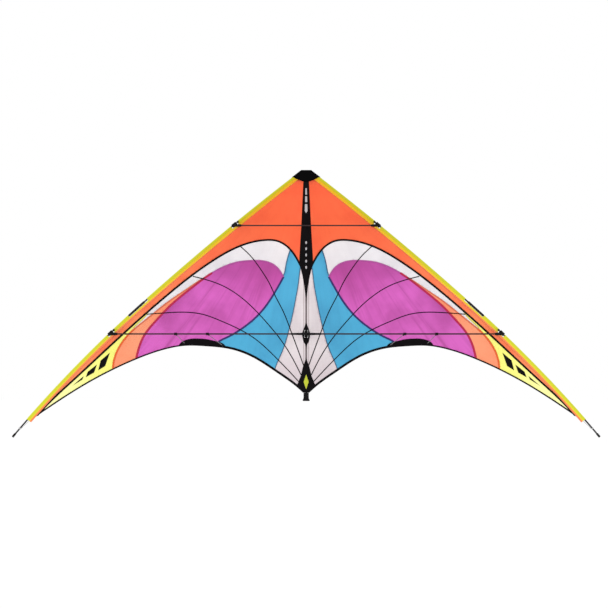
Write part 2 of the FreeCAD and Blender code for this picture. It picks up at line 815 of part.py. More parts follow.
def edge_stretches(first, last):
    """The parts of each arc between two distances down the leading edge."""
    stretches = []
    if first < UPPER.length:
        stretches.append((UPPER, first, min(last, UPPER.length) - first))
    if last > UPPER.length:
        start = max(first - UPPER.length, 0.0)
        stretches.append((LOWER, start, last - UPPER.length - start))
    return stretches


def sleeve_window(middle, length, inner):
    """The gap in the sleeve's round side that bares the rod, as far in as the inset given."""
    outer, half_depth = -9.0, 12.0
    gaps = []
    for arc, start, stretch in edge_stretches(middle - length / 2, middle + length / 2):
        corners = [(inner, -half_depth), (inner, half_depth), (outer, half_depth),
                   (outer, -half_depth), (inner, -half_depth)]
        points = [arc.point_at(start, inset, back) for inset, back in corners]
        gaps.append(turn_along(Part.Face(Part.makePolygon(points)), arc, stretch))
    return gaps


def edge_sleeve():
    """The leading edge sleeve of the right wing, with windows for the fittings and the ferrule."""
    radius = size("sleeve_radius")
    edge_angle = polar(UPPER.end.x, UPPER.end.z)[1]
    lean = math.atan(size("billow") * math.pi / edge_angle)
    length = size("sleeve_width") / math.cos(lean)
    inner_share = 1 - size("cloth_thickness") / radius
    sleeve = None
    for arc, start, stretch in edge_stretches(size("sleeve_start"), size("sleeve_end")):
        outside = turn_along(teardrop(arc, start, radius, length), arc, stretch)
        inside = turn_along(
            teardrop(arc, start, radius * inner_share, length * inner_share), arc, stretch)
        tube = outside.cut(inside)
        sleeve = tube if sleeve is None else sleeve.fuse(tube)
    past_clamp = size("edge_clamp_radius") + 0.6
    past_ferrule = size("ferrule_radius") + 0.6
    windows = sleeve_window(UPPER_CLAMP, size("fitting_window"), past_clamp)
    windows += sleeve_window(FERRULE_PLACE - size("bare_above_ferrule"),
                             size("ferrule_window"), past_ferrule)
    windows += sleeve_window(LOWER_CLAMP, size("fitting_window"), past_clamp)
    windows.append(polygon_prism(nose_outline()))
    return sleeve.cut(windows).common(above_trailing_edge())


# ---------------------------------------------------------------- standoffs

def clip_place(reach):
    """Where a standoff's clip meets the front of the trailing edge patch."""
    curve = smooth(TRAILING_EDGE).Curve
    upright = Part.Line(flat(reach, 0), flat(reach, 1))
    crossing = curve.intersect(upright)[0]
    height = crossing.Z + size("clip_edge_margin")
    return Vector(reach, sail_back(reach, height) - size("clip_gap"), height)


def standoff(name, collar_alias, clip_alias):
    """A collar on the lower spreader, a thin rod back to the sail, and the clip on its end."""
    pivot = Vector(size(collar_alias), SPREADER_Y, 0)
    end = clip_place(size(clip_alias))
    way = (end - pivot).normalize()
    length = (end - pivot).Length
    socket_start = 3.6
    rod_start = 6.0
    clip_length = 8.0
    flange = 1.0
    rod_fit = cell("standoff_radius") + " + " + cell("running_clearance")
    spreader_fit = cell("lower_spreader_radius") + " + " + cell("running_clearance")
    half = size("collar_length") / 2
    ring = cylinder(name + "_collar_ring", cell("collar_radius"), cell("collar_length"),
                    along(pivot - X_AXIS * half, X_AXIS))
    socket = cylinder(name + "_collar_socket", cell("collar_socket_radius"),
                      cell("collar_socket_reach") + " - %g" % socket_start,
                      along(pivot + way * socket_start, way))
    spreader_hole = cylinder(name + "_collar_bore", spreader_fit, "3 * " + cell("collar_length"),
                             along(pivot - X_AXIS * (3 * half), X_AXIS))
    rod_hole = cylinder(name + "_collar_blind", rod_fit, "20",
                        along(pivot + way * (rod_start - ROD_END_GAP), way))
    collar = drilled(name + "_standoff_collar_right", [ring, socket], [spreader_hole, rod_hole])
    rod = doc.addObject("Part::Cylinder", name + "_standoff_rod_right")
    rod.setExpression("Radius", cell("standoff_radius"))
    rod.Height = length - rod_start - flange - ROD_END_GAP
    rod.Placement = along(pivot + way * rod_start, way)
    clip = cap_body(
        name + "_clip", cell("clip_radius"), rod_fit, str(clip_length - flange),
        cell("clip_flange_radius"), str(flange), along(end - way * clip_length, way))
    return collar, rod, clip


def standoffs():
    """Both standoffs of the right wing; their two like clips are one group."""
    outer = standoff("outer", "outer_collar_reach", "outer_clip_reach")
    inner = standoff("inner", "inner_collar_reach", "inner_clip_reach")
    clips = doc.addObject("Part::Compound", "standoff_clips_right")
    clips.Links = [outer[2], inner[2]]
    return [outer[0], outer[1], inner[0], inner[1], clips]


def tip_line():
    """The cord that pulls the sleeve's end out along the wing tip rod, and its whipping."""
    radius = size("cord_radius")
    rod_radius = size("edge_rod_radius")
    tie = EDGE_LENGTH - 40.0
    whipping_half, whipping_wall = 3.0, 1.2
    hole_half = 5 * whipping_half
    start = edge_point(size("sleeve_end") + 0.5, 8.0, 2.0)
    end = edge_point(tie, rod_radius + radius, 0.0)
    cord = Part.makeCylinder(radius, (end - start).Length, start, end - start)
    way = edge_direction(tie)
    whipping = Part.makeCylinder(rod_radius + whipping_wall, 2 * whipping_half,
                                 edge_point(tie - whipping_half), way)
    hole = Part.makeCylinder(rod_radius + size("running_clearance"), 2 * hole_half,
                             edge_point(tie - hole_half), way)
    return cord.fuse(whipping).cut(hole)


# ---------------------------------------------------------------- the whole kite

def build():
    """Every sub-part of the kite, as document objects."""
    wing_caps, middle = rod_caps_and_nocks()
    wing_rods, middle_rods = rods()
    wing = wing_caps + wing_rods
    middle += middle_rods
    wing.append(edge_fitting("upper_edge_fitting_right", UPPER_CLAMP, UPPER_SPREADER_Z,
                             "upper_spreader_radius"))
    wing.append(edge_fitting("lower_edge_fitting_right", LOWER_CLAMP, 0.0,
                             "lower_spreader_radius"))
    wing += standoffs()
    middle.append(centre_fitting())
    for name, shape in {**panels(), **tapes_and_patches()}.items():
        wing.append(feature(name + "_right", shape))
    wing.append(feature("edge_sleeve_right", edge_sleeve()))
    wing.append(feature("tip_tension_line_right", tip_line()))
    for name, shape in centre_cloth().items():
        middle.append(feature(name, shape))
    other_wing = [mirror(item, item.Name.replace("_right", "_left")) for item in wing]
    return middle + wing + other_wing


def check(parts):
    """Stops if any object of the document failed, or any sub-part is empty or not valid."""
    doc.recompute()
    for item in doc.Objects:
        if "Invalid" in item.State or "Error" in item.State:
            raise ValueError(item.Name + " failed")
    for item in parts:
        if item.Shape.isNull() or not item.Shape.isValid() or not item.Shape.Solids:
            raise ValueError(item.Name + " is not a valid solid")


def export(parts):
    """One file for each sub-part, named by its label."""
    os.makedirs("parts", exist_ok=True)
    for item in parts:
        item.Shape.exportStep("parts/%s.step" % item.Label)


kite = build()
check(kite)
export(kite)
print("%d sub-parts, wing tip at %s" % (len(kite), edge_point(EDGE_LENGTH)))
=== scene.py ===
"""The looks of a framed delta kite, built in Blender around its CAD frame.

Lengths in this script are millimetres in the frame of the part, and become metres when a mesh is
made.  The sail is one height field: sail_depth() gives its depth behind the bridle eye at each
place of the front view, and each panel, tape and patch lies on it or a layer in front of it.
"""
import json
import math

import bmesh
import bpy
import numpy as np
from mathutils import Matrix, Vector
from mathutils.geometry import delaunay_2d_cdt


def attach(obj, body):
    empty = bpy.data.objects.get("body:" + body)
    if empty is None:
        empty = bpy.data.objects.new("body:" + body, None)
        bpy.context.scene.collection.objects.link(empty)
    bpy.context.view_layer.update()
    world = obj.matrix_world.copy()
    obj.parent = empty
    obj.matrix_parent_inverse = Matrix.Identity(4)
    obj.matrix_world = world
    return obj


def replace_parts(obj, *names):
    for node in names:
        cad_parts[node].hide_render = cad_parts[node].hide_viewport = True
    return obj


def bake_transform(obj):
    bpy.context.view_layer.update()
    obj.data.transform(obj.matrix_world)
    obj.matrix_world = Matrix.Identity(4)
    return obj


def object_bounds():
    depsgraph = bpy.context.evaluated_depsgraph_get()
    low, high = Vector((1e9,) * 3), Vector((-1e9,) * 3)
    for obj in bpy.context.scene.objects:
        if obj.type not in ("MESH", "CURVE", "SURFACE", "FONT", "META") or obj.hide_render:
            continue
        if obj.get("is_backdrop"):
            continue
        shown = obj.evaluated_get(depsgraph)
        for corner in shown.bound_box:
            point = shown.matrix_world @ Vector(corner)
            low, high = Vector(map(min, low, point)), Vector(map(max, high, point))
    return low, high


MM = 0.001
SIDES = (("right", 1), ("left", -1))

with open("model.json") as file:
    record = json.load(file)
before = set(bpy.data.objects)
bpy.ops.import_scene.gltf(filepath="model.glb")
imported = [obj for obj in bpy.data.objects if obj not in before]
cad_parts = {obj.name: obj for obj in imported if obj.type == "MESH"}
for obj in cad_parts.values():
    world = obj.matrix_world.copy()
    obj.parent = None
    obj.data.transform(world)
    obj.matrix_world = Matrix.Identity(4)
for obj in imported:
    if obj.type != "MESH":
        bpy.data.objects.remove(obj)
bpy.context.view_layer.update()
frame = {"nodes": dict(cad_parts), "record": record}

# ---------------------------------------------------------------- the leading edge and the sail

SAIL_Y = 18.5
SPINE_Y = 22.9
SPINE_RADIUS = 3.0
BILLOW = 0.165
CLOTH = 0.3
SLEEVE_RADIUS = 3.9
SLEEVE_WIDTH = 16.0
SLEEVE_START = 10.0
SLEEVE_END = 1363.0
NOTCH_HALF_WIDTH = 10.6
NOTCH_TOP = -217.5

HEM_WIDTH = 8.5


class EdgeArc:
    """One arc of the leading edge, seen from the front, by distance from its upper end."""

    def __init__(self, start, slope, bend, length):
        self.slope, self.bend, self.length = slope, bend, length
        self.centre = (start[0] - bend * math.cos(slope), start[1] - bend * math.sin(slope))
        self.end = self.point_at(length)

    def point_at(self, distance, inset=0.0):
        slope = self.slope - distance / self.bend
        reach = self.bend - inset
        return (self.centre[0] + reach * math.cos(slope), self.centre[1] + reach * math.sin(slope))


TOP = (25.6, 596.0)
UPPER = EdgeArc(TOP, math.radians(52.5), 9800.0, 770.0)
LOWER = EdgeArc(UPPER.end, UPPER.slope - UPPER.length / UPPER.bend, 5040.0, 676.0)
APEX_Z = TOP[1] + TOP[0] / math.tan(UPPER.slope)


def edge_point(distance, inset=0.0):
    """A point of the leading edge rod's line, or beside it towards the sail."""
    if distance <= UPPER.length:
        return UPPER.point_at(distance, inset)
    return LOWER.point_at(distance - UPPER.length, inset)


def inset_of(x, z):
    """How far a place lies inside the leading edge rod's line."""
    arc = LOWER
    if math.atan2(z - UPPER.centre[1], x - UPPER.centre[0]) > LOWER.slope:
        arc = UPPER
    return arc.bend - math.hypot(x - arc.centre[0], z - arc.centre[1])


def polar(x, z):
    """Distance from the sail's apex and angle from the spine."""
    return math.hypot(x, APEX_Z - z), math.atan2(x, APEX_Z - z)


def edge_distance(height):
    """The distance down the leading edge to a height."""
    low, high = 0.0, UPPER.length + LOWER.length
    for _ in range(40):
        middle = (low + high) / 2
        if edge_point(middle)[1] > height:
            low = middle
        else:
            high = middle
    return middle


# place down the edge, length and inner limit of each window in the sleeve
WINDOWS = (
    (edge_distance(405.0), 28.0, 7.2),
    (UPPER.length + 9.0, 94.0, 5.0),
    (edge_distance(3.0), 28.0, 7.2))
EDGE_POLAR = [polar(*edge_point(d)) for d in range(-60, 1510, 5)]
EDGE_RADII = [radius for radius, _ in EDGE_POLAR]
EDGE_ANGLES = [angle for _, angle in EDGE_POLAR]


def share_out(x, z):
    """The share of the way from the spine to the leading edge, round the apex."""
    radius, angle = polar(x, z)
    return radius, angle / np.interp(radius, EDGE_RADII, EDGE_ANGLES)


def sail_depth(x, z):
    """Depth of the front of the cloth: a cone, a few soft radial ripples and a puckered hem."""
    radius, share = share_out(x, z)
    share = min(max(share, 0.0), 1.0)
    tightness = math.sin(math.pi * share)
    ripple = 0.5 * tightness ** 2 * math.sin(34 * share + 0.6 * math.sin(radius / 90))
    above_hem = max(z - trailing_height(x), 0.0)
    pucker = 0.5 * tightness * math.exp(-above_hem / 18) * math.sin(x / 6.5)
    return SAIL_Y + radius * BILLOW * tightness + ripple + pucker


# ---------------------------------------------------------------- outlines, seen from the front

TRAILING_EDGE = [
    (0, -229), (33, -199), (112, -143), (201, -88), (290, -57), (380, -47), (454, -45.5),
    (513, -55), (647, -101), (825, -191), (959, -277), (1004, -308), (1040, -334)]
SEAM = [
    (0, 137), (10.4, 225), (38, 285), (68, 323), (112, 347), (157, 349), (246, 327), (335, 280),
    (513, 147), (691, -10), (870, -176), (959, -260), (1012, -318)]
EYE_TOP = [
    (640, -125), (632, -84), (602, -4), (558, 50), (513, 98), (424, 173), (335, 236), (246, 269),
    (201, 273), (157, 271), (112, 251), (84, 212)]
EYE_FOOT = [
    (84, 212), (112, 162), (157, 95), (201, 49), (246, 15), (290, -11), (324, -28), (360, -62)]
ORANGE_OUTER_EDGE = [
    (722, -160), (715, -96), (691, -42), (647, 11), (602, 48), (513, 119), (424, 180),
    (380, 208), (330, 225)]
BLUE_OUTER_EDGE = [(52, 345), (59, 314), (68, 286), (77, 245), (87, 214), (115, 196)]
BLUE_INNER_EDGE = [
    (16, 275), (23, 236), (28, 194), (39, 129), (53.5, 57), (67, 3), (86, -58), (112, -119),
    (125, -160)]
YELLOW_EDGE = [(566, 128), (580, 95), (603, 60), (647, 16), (665, -18)]
STRIP = [
    (0, 567), (10.4, 567), (18, 402), (24.7, 292), (25.4, 275), (23.6, 255), (19, 236), (13.7, 216),
    (7, 177), (2.5, 138), (0, 112)]
EDGE_PATCH = [
    (478, -75), (474, -40), (436, -20), (404, -18.5), (369, -21.5), (339, -28), (312, -37),
    (301, -48), (290, -85)]
TAIL_PATCH = [(0, -89), (12.6, -124), (19.7, -155), (36, -196)]
CENTRE_PATCH = [(0, 46), (4, 33), (15.6, 2), (15.6, -3), (10, -30), (4, -38), (0, -58)]
RADIAL_TAPES = [
    [(244, 325), (208, 291), (172, 244), (136, 186), (115, 141), (86, 85), (60, 20), (36, -44),
     (9, -118)],
    [(421, 214), (374, 202), (309, 178), (251, 142), (201, 99), (151, 46), (100, -15), (50, -92),
     (19, -152)],
    [(593, 73), (525, 78), (439, 80), (381, 71), (324, 50), (251, 17), (187, -22), (129, -73),
     (73, -129), (25, -180)]]
TIP_MARKS = [
    [(730, -70), (764, -99), (774, -136), (748, -120)],
    [(778, -114), (812, -141), (820, -162), (789, -144)],
    [(827, -157), (869, -193), (832, -170)]]
INSIDE_EYE = [(160, 180), (300, 120), (560, 0), (610, -60), (640, -200)]
FAR = 1400


def smooth(points, step=6.0):
    """A natural cubic spline through points, as points about a step apart."""
    knots = np.array(points, float)
    chord = np.concatenate([[0], np.cumsum(np.linalg.norm(np.diff(knots, axis=0), axis=1))])
    count = len(knots)
    gap = np.diff(chord)
    system = np.eye(count)
    right = np.zeros((count, 2))
    for i in range(1, count - 1):
        system[i, i - 1:i + 2] = gap[i - 1], 2 * (gap[i - 1] + gap[i]), gap[i]
        rise = (knots[i + 1] - knots[i]) / gap[i] - (knots[i] - knots[i - 1]) / gap[i - 1]
        right[i] = 6 * rise
    curve = np.linalg.solve(system, right)
    line = []
    for i in range(count - 1):
        pieces = max(1, round(gap[i] / step))
        for t in np.arange(pieces) / pieces * gap[i]:
            u = gap[i] - t
            line.append((curve[i] * u ** 3 + curve[i + 1] * t ** 3) / (6 * gap[i])
                        + (knots[i] / gap[i] - curve[i] * gap[i] / 6) * u
                        + (knots[i + 1] / gap[i] - curve[i + 1] * gap[i] / 6) * t)
    line.append(knots[-1])
    return [(float(x), float(z)) for x, z in line]


TRAILING_LINE = smooth(TRAILING_EDGE)
SEAM_LINE = smooth(SEAM)
EYE_LINE = smooth(EYE_TOP) + smooth(EYE_FOOT)[1:]
ORANGE_LINE = smooth(ORANGE_OUTER_EDGE)
BLUE_OUTER_LINE = smooth(BLUE_OUTER_EDGE)
BLUE_INNER_LINE = smooth(BLUE_INNER_EDGE)
YELLOW_LINE = smooth(YELLOW_EDGE)


def trailing_height(x):
    return float(np.interp(x, [p[0] for p in TRAILING_LINE], [p[1] for p in TRAILING_LINE]))


def seam_height(x):
    return float(np.interp(x, [p[0] for p in SEAM_LINE], [p[1] for p in SEAM_LINE]))


def inside(polygon, x, z):
    """Whether a place is inside a closed outline."""
    found = False
    for (ax, az), (bx, bz) in zip(polygon, polygon[1:] + polygon[:1]):
        if (az > z) != (bz > z) and x < (bx - ax) * (z - az) / (bz - az) + ax:
            found = not found
    return found


ABOVE_SEAM = SEAM_LINE + [(FAR, -318), (FAR, FAR), (-FAR, FAR), (-FAR, 137)]
EYE_AREA = EYE_LINE
ORANGE_AREA = ORANGE_LINE + INSIDE_EYE[1:]
OUTER_AREA = BLUE_OUTER_LINE + INSIDE_EYE + [(FAR, -FAR), (FAR, FAR), (52, FAR)]
INNER_AREA = BLUE_INNER_LINE + [(125, -FAR), (-FAR, -FAR), (-FAR, 275)]
YELLOW_AREA = YELLOW_LINE + [(640, -60), (640, -FAR), (FAR, -FAR), (FAR, FAR), (566, FAR)]


def panel_at(x, z):
    """The name of the panel of cloth at a place of the wing."""
    if inside(ABOVE_SEAM, x, z):
        return "upper_orange_panel"
    if inside(EYE_AREA, x, z):
        return "magenta_panel"
    if inside(ORANGE_AREA, x, z):
        return "outer_orange_panel"
    if inside(OUTER_AREA, x, z):
        return "yellow_tip_panel" if inside(YELLOW_AREA, x, z) else "upper_white_panel"
    return "inner_white_panel" if inside(INNER_AREA, x, z) else "blue_panel"


# ---------------------------------------------------------------- meshes

def new_object(name, points, faces, uvs=None):
    """A mesh object from points in millimetres, with its faces shaded smooth."""
    mesh = bpy.data.meshes.new(name)
    mesh.from_pydata([Vector(p) * MM for p in points], [], faces)
    mesh.validate()
    mesh.polygons.foreach_set("use_smooth", [True] * len(mesh.polygons))
    if uvs is not None:
        layer = mesh.uv_layers.new(name="cloth")
        for loop in mesh.loops:
            layer.data[loop.index].uv = uvs[loop.vertex_index]
    piece = bpy.data.objects.new(name, mesh)
    bpy.context.scene.collection.objects.link(piece)
    return piece


def thicken(piece, thickness, offset=-1.0):
    """Gives a sheet its thickness, behind its front face unless the offset says both ways."""
    solid = piece.modifiers.new("thickness", "SOLIDIFY")
    solid.thickness = thickness * MM
    solid.offset = offset
    return piece


def mirrored(side, points, faces):
    """Points and faces on the right wing, or mirrored on the left with their fronts kept."""
    if side > 0:
        return points, faces
    return [(-x, y, z) for x, y, z in points], [tuple(reversed(face)) for face in faces]


def front_facing(flat_points, face):
    """A face's corners, in the order that makes it look forwards, along -Y."""
    (ax, az), (bx, bz), (cx, cz) = (flat_points[i] for i in face[:3])
    turn = (bx - ax) * (cz - az) - (bz - az) * (cx - ax)
    return tuple(face) if turn > 0 else tuple(reversed(face))


def grid_inside(outline, spacing):
    """Rows of points inside an outline, each row shifted by half a space."""
    xs, zs = [p[0] for p in outline], [p[1] for p in outline]
    points = []
    row = 0
    z = min(zs) + spacing / 2
    while z < max(zs):
        x = min(xs) + spacing * (0.5 + 0.5 * (row % 2))
        while x < max(xs):
            if inside(outline, x, z):
                points.append((x, z))
            x += spacing
        z += spacing * math.sqrt(0.75)
        row += 1
    return points


def away_from(lines, points, gap):
    """The points that are not close to any of some lines."""
    samples = np.array([p for line in lines for p in line])
    return [p for p in points if np.min(np.sum((samples - p) ** 2, axis=1)) > gap ** 2]


def triangulate(outline, lines, spacing):
    """Triangles that fill an outline and keep to some lines across it."""
    closed = outline + outline[:1]
    points = list(outline)
    edges = []
    for line in lines:
        first = len(points)
        points += line
        edges += [(first + i, first + i + 1) for i in range(len(line) - 1)]
    points += away_from([closed] + lines, grid_inside(outline, spacing), spacing * 0.45)
    result = delaunay_2d_cdt(
        [Vector(p) for p in points], edges, [list(range(len(outline)))], 1, 1e-4)
    flat_points = [(p.x, p.y) for p in result[0]]
    faces = []
    for face in result[2]:
        x, z = np.mean([flat_points[i] for i in face], axis=0)
        if inside(outline, x, z):
            faces.append(front_facing(flat_points, face))
    return flat_points, faces


UNROLL_STEPS = 80
UNROLL_EDGE = EDGE_ANGLES[len(EDGE_ANGLES) // 2]


def cone_ray(share):
    """The sail's point at distance 1 from the apex, seen from the front."""
    angle = share * UNROLL_EDGE
    return np.array([math.sin(angle), BILLOW * math.sin(math.pi * share), -math.cos(angle)])


def unrolled_angles():
    """The angle from the spine to each share of the way out, with the cone rolled out flat."""
    rays = [cone_ray(i / UNROLL_STEPS) for i in range(UNROLL_STEPS + 1)]
    rays = [ray / np.linalg.norm(ray) for ray in rays]
    steps = [math.acos(min(1.0, float(a @ b))) for a, b in zip(rays, rays[1:])]
    return np.concatenate([[0], np.cumsum(steps)])


UNROLLED = unrolled_angles()


def rolled_out(x, z):
    """Where a place of the sail lies in the flat cut of its cloth, in metres."""
    radius, share = share_out(x, z)
    angle = np.interp(share, np.linspace(0, 1, UNROLL_STEPS + 1), UNROLLED)
    slant = radius * np.linalg.norm(cone_ray(share)) * MM
    return float(slant * math.sin(angle)), float(-slant * math.cos(angle))


def on_sail(flat_points, forward):
    """Places of the front view, put on the sail or this far in front of it."""
    return [(x, sail_depth(x, z) - forward, z) for x, z in flat_points]


def patch(name, side, outline, forward, thickness, spacing=7.0):
    """A piece of cloth with a given outline that lies on the sail."""
    flat_points, faces = triangulate(outline, [], spacing)
    points, faces = mirrored(side, on_sail(flat_points, forward), faces)
    piece = new_object(name, points, faces, [rolled_out(x, z) for x, z in flat_points])
    return thicken(piece, thickness)


def both_wings_patch(name, half_outline, forward, thickness, spacing=5.0):
    """A piece of cloth across the centre line, from its right half."""
    flat_points, faces = triangulate(half_outline, [], spacing)
    right = on_sail(flat_points, forward)
    left, left_faces = mirrored(-1, right, faces)
    first = len(right)
    faces = faces + [tuple(i + first for i in face) for face in left_faces]
    cuts = [rolled_out(x, z) for x, z in flat_points]
    uvs = cuts + [(-u, v) for u, v in cuts]
    piece = new_object(name, right + left, faces, uvs)
    weld(piece)
    return thicken(piece, thickness)


def weld(piece):
    """Joins the points that lie on each other, such as those on the centre line."""
    shape = bmesh.new()
    shape.from_mesh(piece.data)
    bmesh.ops.remove_doubles(shape, verts=shape.verts, dist=0.01 * MM)
    shape.to_mesh(piece.data)
    shape.free()


def ribbon(name, side, line, left, right, thickness, forward=0.0, narrowing=None):
    """A tape along a line of the sail: its edges are left and right of the line, looking along."""
    centre = np.array(line)
    way = np.gradient(centre, axis=0)
    way /= np.linalg.norm(way, axis=1)[:, None]
    across = np.stack([-way[:, 1], way[:, 0]], axis=1)
    length = np.concatenate([[0], np.cumsum(np.linalg.norm(np.diff(centre, axis=0), axis=1))])
    columns = 5
    flat_points, uvs = [], []
    for index in range(len(line)):
        share = narrowing(line[index][0]) if narrowing else 1.0
        for column in range(columns):
            offset = share * (right + (left - right) * column / (columns - 1))
            flat_points.append(tuple(centre[index] + across[index] * offset))
            uvs.append((length[index] * MM, (offset - right) * MM))
    faces = []
    for index in range(len(line) - 1):
        for column in range(columns - 1):
            a = index * columns + column
            faces.append(front_facing(
                flat_points, (a, a + columns, a + columns + 1, a + 1)))
    points, faces = mirrored(side, on_sail(flat_points, forward), faces)
    return thicken(new_object(name, points, faces, uvs), thickness, 0.0)


# ---------------------------------------------------------------- materials

def srgb(red, green, blue):
    """A colour given as 0 to 255, in Blender's linear light."""
    return tuple(((c / 255 + 0.055) / 1.055) ** 2.4 if c > 10 else c / 255 / 12.92
                 for c in (red, green, blue)) + (1.0,)


def new_material(name):
    material = bpy.data.materials.new(name)
    material.use_nodes = True
    nodes = material.node_tree.nodes
    return material, nodes, material.node_tree.links, nodes["Principled BSDF"]


def add(nodes, kind, **values):
    """A node, with its settings and its inputs' values by name."""
    node = nodes.new(kind)
    for name, value in values.items():
        if hasattr(node, name):
            setattr(node, name, value)
        else:
            node.inputs[name.replace("_", " ")].default_value = value
    return node


def plug(links, socket, value):
    """Feeds a socket from another socket, or sets it to a plain value."""
    if isinstance(value, bpy.types.NodeSocket):
        links.new(value, socket)
    else:
        socket.default_value = value


def mix(nodes, links, kind, factor, first, second):
    """A colour mix node; its factor and colours are sockets or plain values."""
    node = nodes.new("ShaderNodeMix")
    node.data_type = "RGBA"
    node.blend_type = kind
    for number, value in ((0, factor), (6, first), (7, second)):
        plug(links, node.inputs[number], value)
    return node.outputs[2]


def calc(nodes, links, operation, *values):
    """The result of a maths node; its values are sockets or plain numbers."""
    node = add(nodes, "ShaderNodeMath", operation=operation)
    for socket, value in zip(node.inputs, values):
        plug(links, socket, value)
    return node.outputs[0]


def split(nodes, links, where):
    """The x, y and z of a place."""
    axes = add(nodes, "ShaderNodeSeparateXYZ")
    links.new(where, axes.inputs[0])
    return axes.outputs


def band(nodes, links, value, low, high):
    """A smooth step of a value from 0 at low to 1 at high."""
    node = add(nodes, "ShaderNodeMapRange", interpolation_type="SMOOTHSTEP")
    links.new(value, node.inputs[0])
    node.inputs[1].default_value = low
    node.inputs[2].default_value = high
    return node.outputs[0]


def radius_and_creases(nodes, links, where):
    """Distance from the nose, and noise drawn out along the lines that run from the nose."""
    radius = add(nodes, "ShaderNodeVectorMath", operation="LENGTH")
    links.new(where, radius.inputs[0])
    axes = split(nodes, links, where)
    polar_place = add(nodes, "ShaderNodeCombineXYZ")
    links.new(calc(nodes, links, "ARCTAN2", axes[0], axes[1]), polar_place.inputs[0])
    links.new(radius.outputs["Value"], polar_place.inputs[1])
    drawn_out = add(nodes, "ShaderNodeMapping")
    drawn_out.inputs["Scale"].default_value = (26.0, 1.6, 1.0)
    links.new(polar_place.outputs[0], drawn_out.inputs["Vector"])
    crease = add(nodes, "ShaderNodeTexNoise", Scale=1.0, Detail=4.0, Roughness=0.6)
    links.new(drawn_out.outputs[0], crease.inputs["Vector"])
    return radius.outputs["Value"], crease.outputs[0]


def sailcloth(name, colour, shade=None, crease_shade=0.25, grid=0.10, roughness=0.42, fade=None):
    """Coated ripstop: a fine square grid, creases from the nose with painted shade along them, and
    slow changes of colour.

    fade is another colour and the distances from the nose, in metres, where it starts and ends.
    """
    material, nodes, links, shader = new_material(name)
    where = add(nodes, "ShaderNodeUVMap", uv_map="cloth").outputs[0]
    dark = shade or tuple(c * 0.72 for c in colour[:3]) + (1.0,)
    slow = add(nodes, "ShaderNodeTexNoise", Scale=7.0, Detail=3.0, Roughness=0.5)
    links.new(where, slow.inputs["Vector"])
    radius, crease = radius_and_creases(nodes, links, where)
    if fade:
        far_colour, start, end = fade
        colour = mix(nodes, links, "MIX", band(nodes, links, radius, start, end),
                     colour, far_colour)
    ripstop = add(nodes, "ShaderNodeTexBrick", offset=0.0, Scale=1.0, Mortar_Size=0.0002,
                  Mortar_Smooth=0.4, Brick_Width=0.0052, Row_Height=0.0052)
    ripstop.inputs["Color1"].default_value = (1, 1, 1, 1)
    ripstop.inputs["Color2"].default_value = (1, 1, 1, 1)
    ripstop.inputs["Mortar"].default_value = (0, 0, 0, 1)
    links.new(where, ripstop.inputs["Vector"])
    weave = add(nodes, "ShaderNodeTexNoise", Scale=2600.0, Detail=1.0)
    links.new(where, weave.inputs["Vector"])
    tone = mix(nodes, links, "MIX", band(nodes, links, slow.outputs[0], 0.35, 0.75), colour, dark)
    lighter = mix(nodes, links, "MIX", 0.65, colour, tone)
    # painted shade: the creases are darkened towards the dark colour, as far as the crease shade
    # amount says
    crease_shaded = mix(nodes, links, "MIX", band(nodes, links, crease, 0.45, 0.8),
                  lighter, mix(nodes, links, "MIX", crease_shade, lighter, dark))
    lines = mix(nodes, links, "MIX", grid, (1, 1, 1, 1), ripstop.outputs[0])
    links.new(mix(nodes, links, "MULTIPLY", 1.0, crease_shaded, lines), shader.inputs["Base Color"])
    height = mix(nodes, links, "MIX", 0.35, crease, weave.outputs[0])
    height = mix(nodes, links, "MULTIPLY", 0.3, height, ripstop.outputs[0])
    bump = add(nodes, "ShaderNodeBump", Strength=0.18, Distance=0.0006)
    links.new(height, bump.inputs["Height"])
    links.new(bump.outputs[0], shader.inputs["Normal"])
    rough = add(nodes, "ShaderNodeMapRange")
    links.new(slow.outputs[0], rough.inputs[0])
    rough.inputs[3].default_value = roughness - 0.06
    rough.inputs[4].default_value = roughness + 0.12
    links.new(rough.outputs[0], shader.inputs["Roughness"])
    shader.inputs["Specular IOR Level"].default_value = 0.35
    shader.inputs["Sheen Weight"].default_value = 0.12
    return material


# Distances from the spine's middle, in metres, where each shadow starts and is full.
SPINE_SHADOW = (0.0046, 0.0022)
ROD_SHADOW = (0.0024, 0.0012)
POCKET_SHADOW = (0.0102, 0.0094)
POCKET_SEAM = 0.0095
SEAM_SHADOW = (0.0013, 0.0005)


def paint_spine_shadow(material, shadow_tint):
    """Paints the shadow of the spine and its pocket onto white cloth: darkens it a little where
    they lie behind it.
    """
    nodes, links = material.node_tree.nodes, material.node_tree.links
    shader = nodes["Principled BSDF"]
    base = shader.inputs["Base Color"].links[0].from_socket
    where = add(nodes, "ShaderNodeTexCoord").outputs["Object"]
    reach = calc(nodes, links, "ABSOLUTE", split(nodes, links, where)[0])
    # painted shadows of the spine, its pocket and the pocket's seam, seen through the cloth
    spine = band(nodes, links, reach, *SPINE_SHADOW)
    pocket = band(nodes, links, reach, *POCKET_SHADOW)
    off_line = calc(nodes, links, "SUBTRACT", reach, POCKET_SEAM)
    line = band(nodes, links, calc(nodes, links, "ABSOLUTE", off_line), *SEAM_SHADOW)
    shaded = mix(nodes, links, "MIX", pocket, base, mix(nodes, links, "MIX", 0.2, base, shadow_tint))
    shaded = mix(nodes, links, "MIX", line, shaded, shadow_tint)
    shaded = mix(nodes, links, "MIX", spine, shaded, shadow_tint)
    # painted shadow of the spine rod, darkest down the middle of the cloth
    rod = band(nodes, links, reach, *ROD_SHADOW)
    links.new(mix(nodes, links, "MIX", rod, shaded, srgb(58, 50, 54)), shader.inputs["Base Color"])


# Distances from a row of stitches, in metres, where its thread starts and is full.
STITCH_LINE = (0.00045, 0.00025)


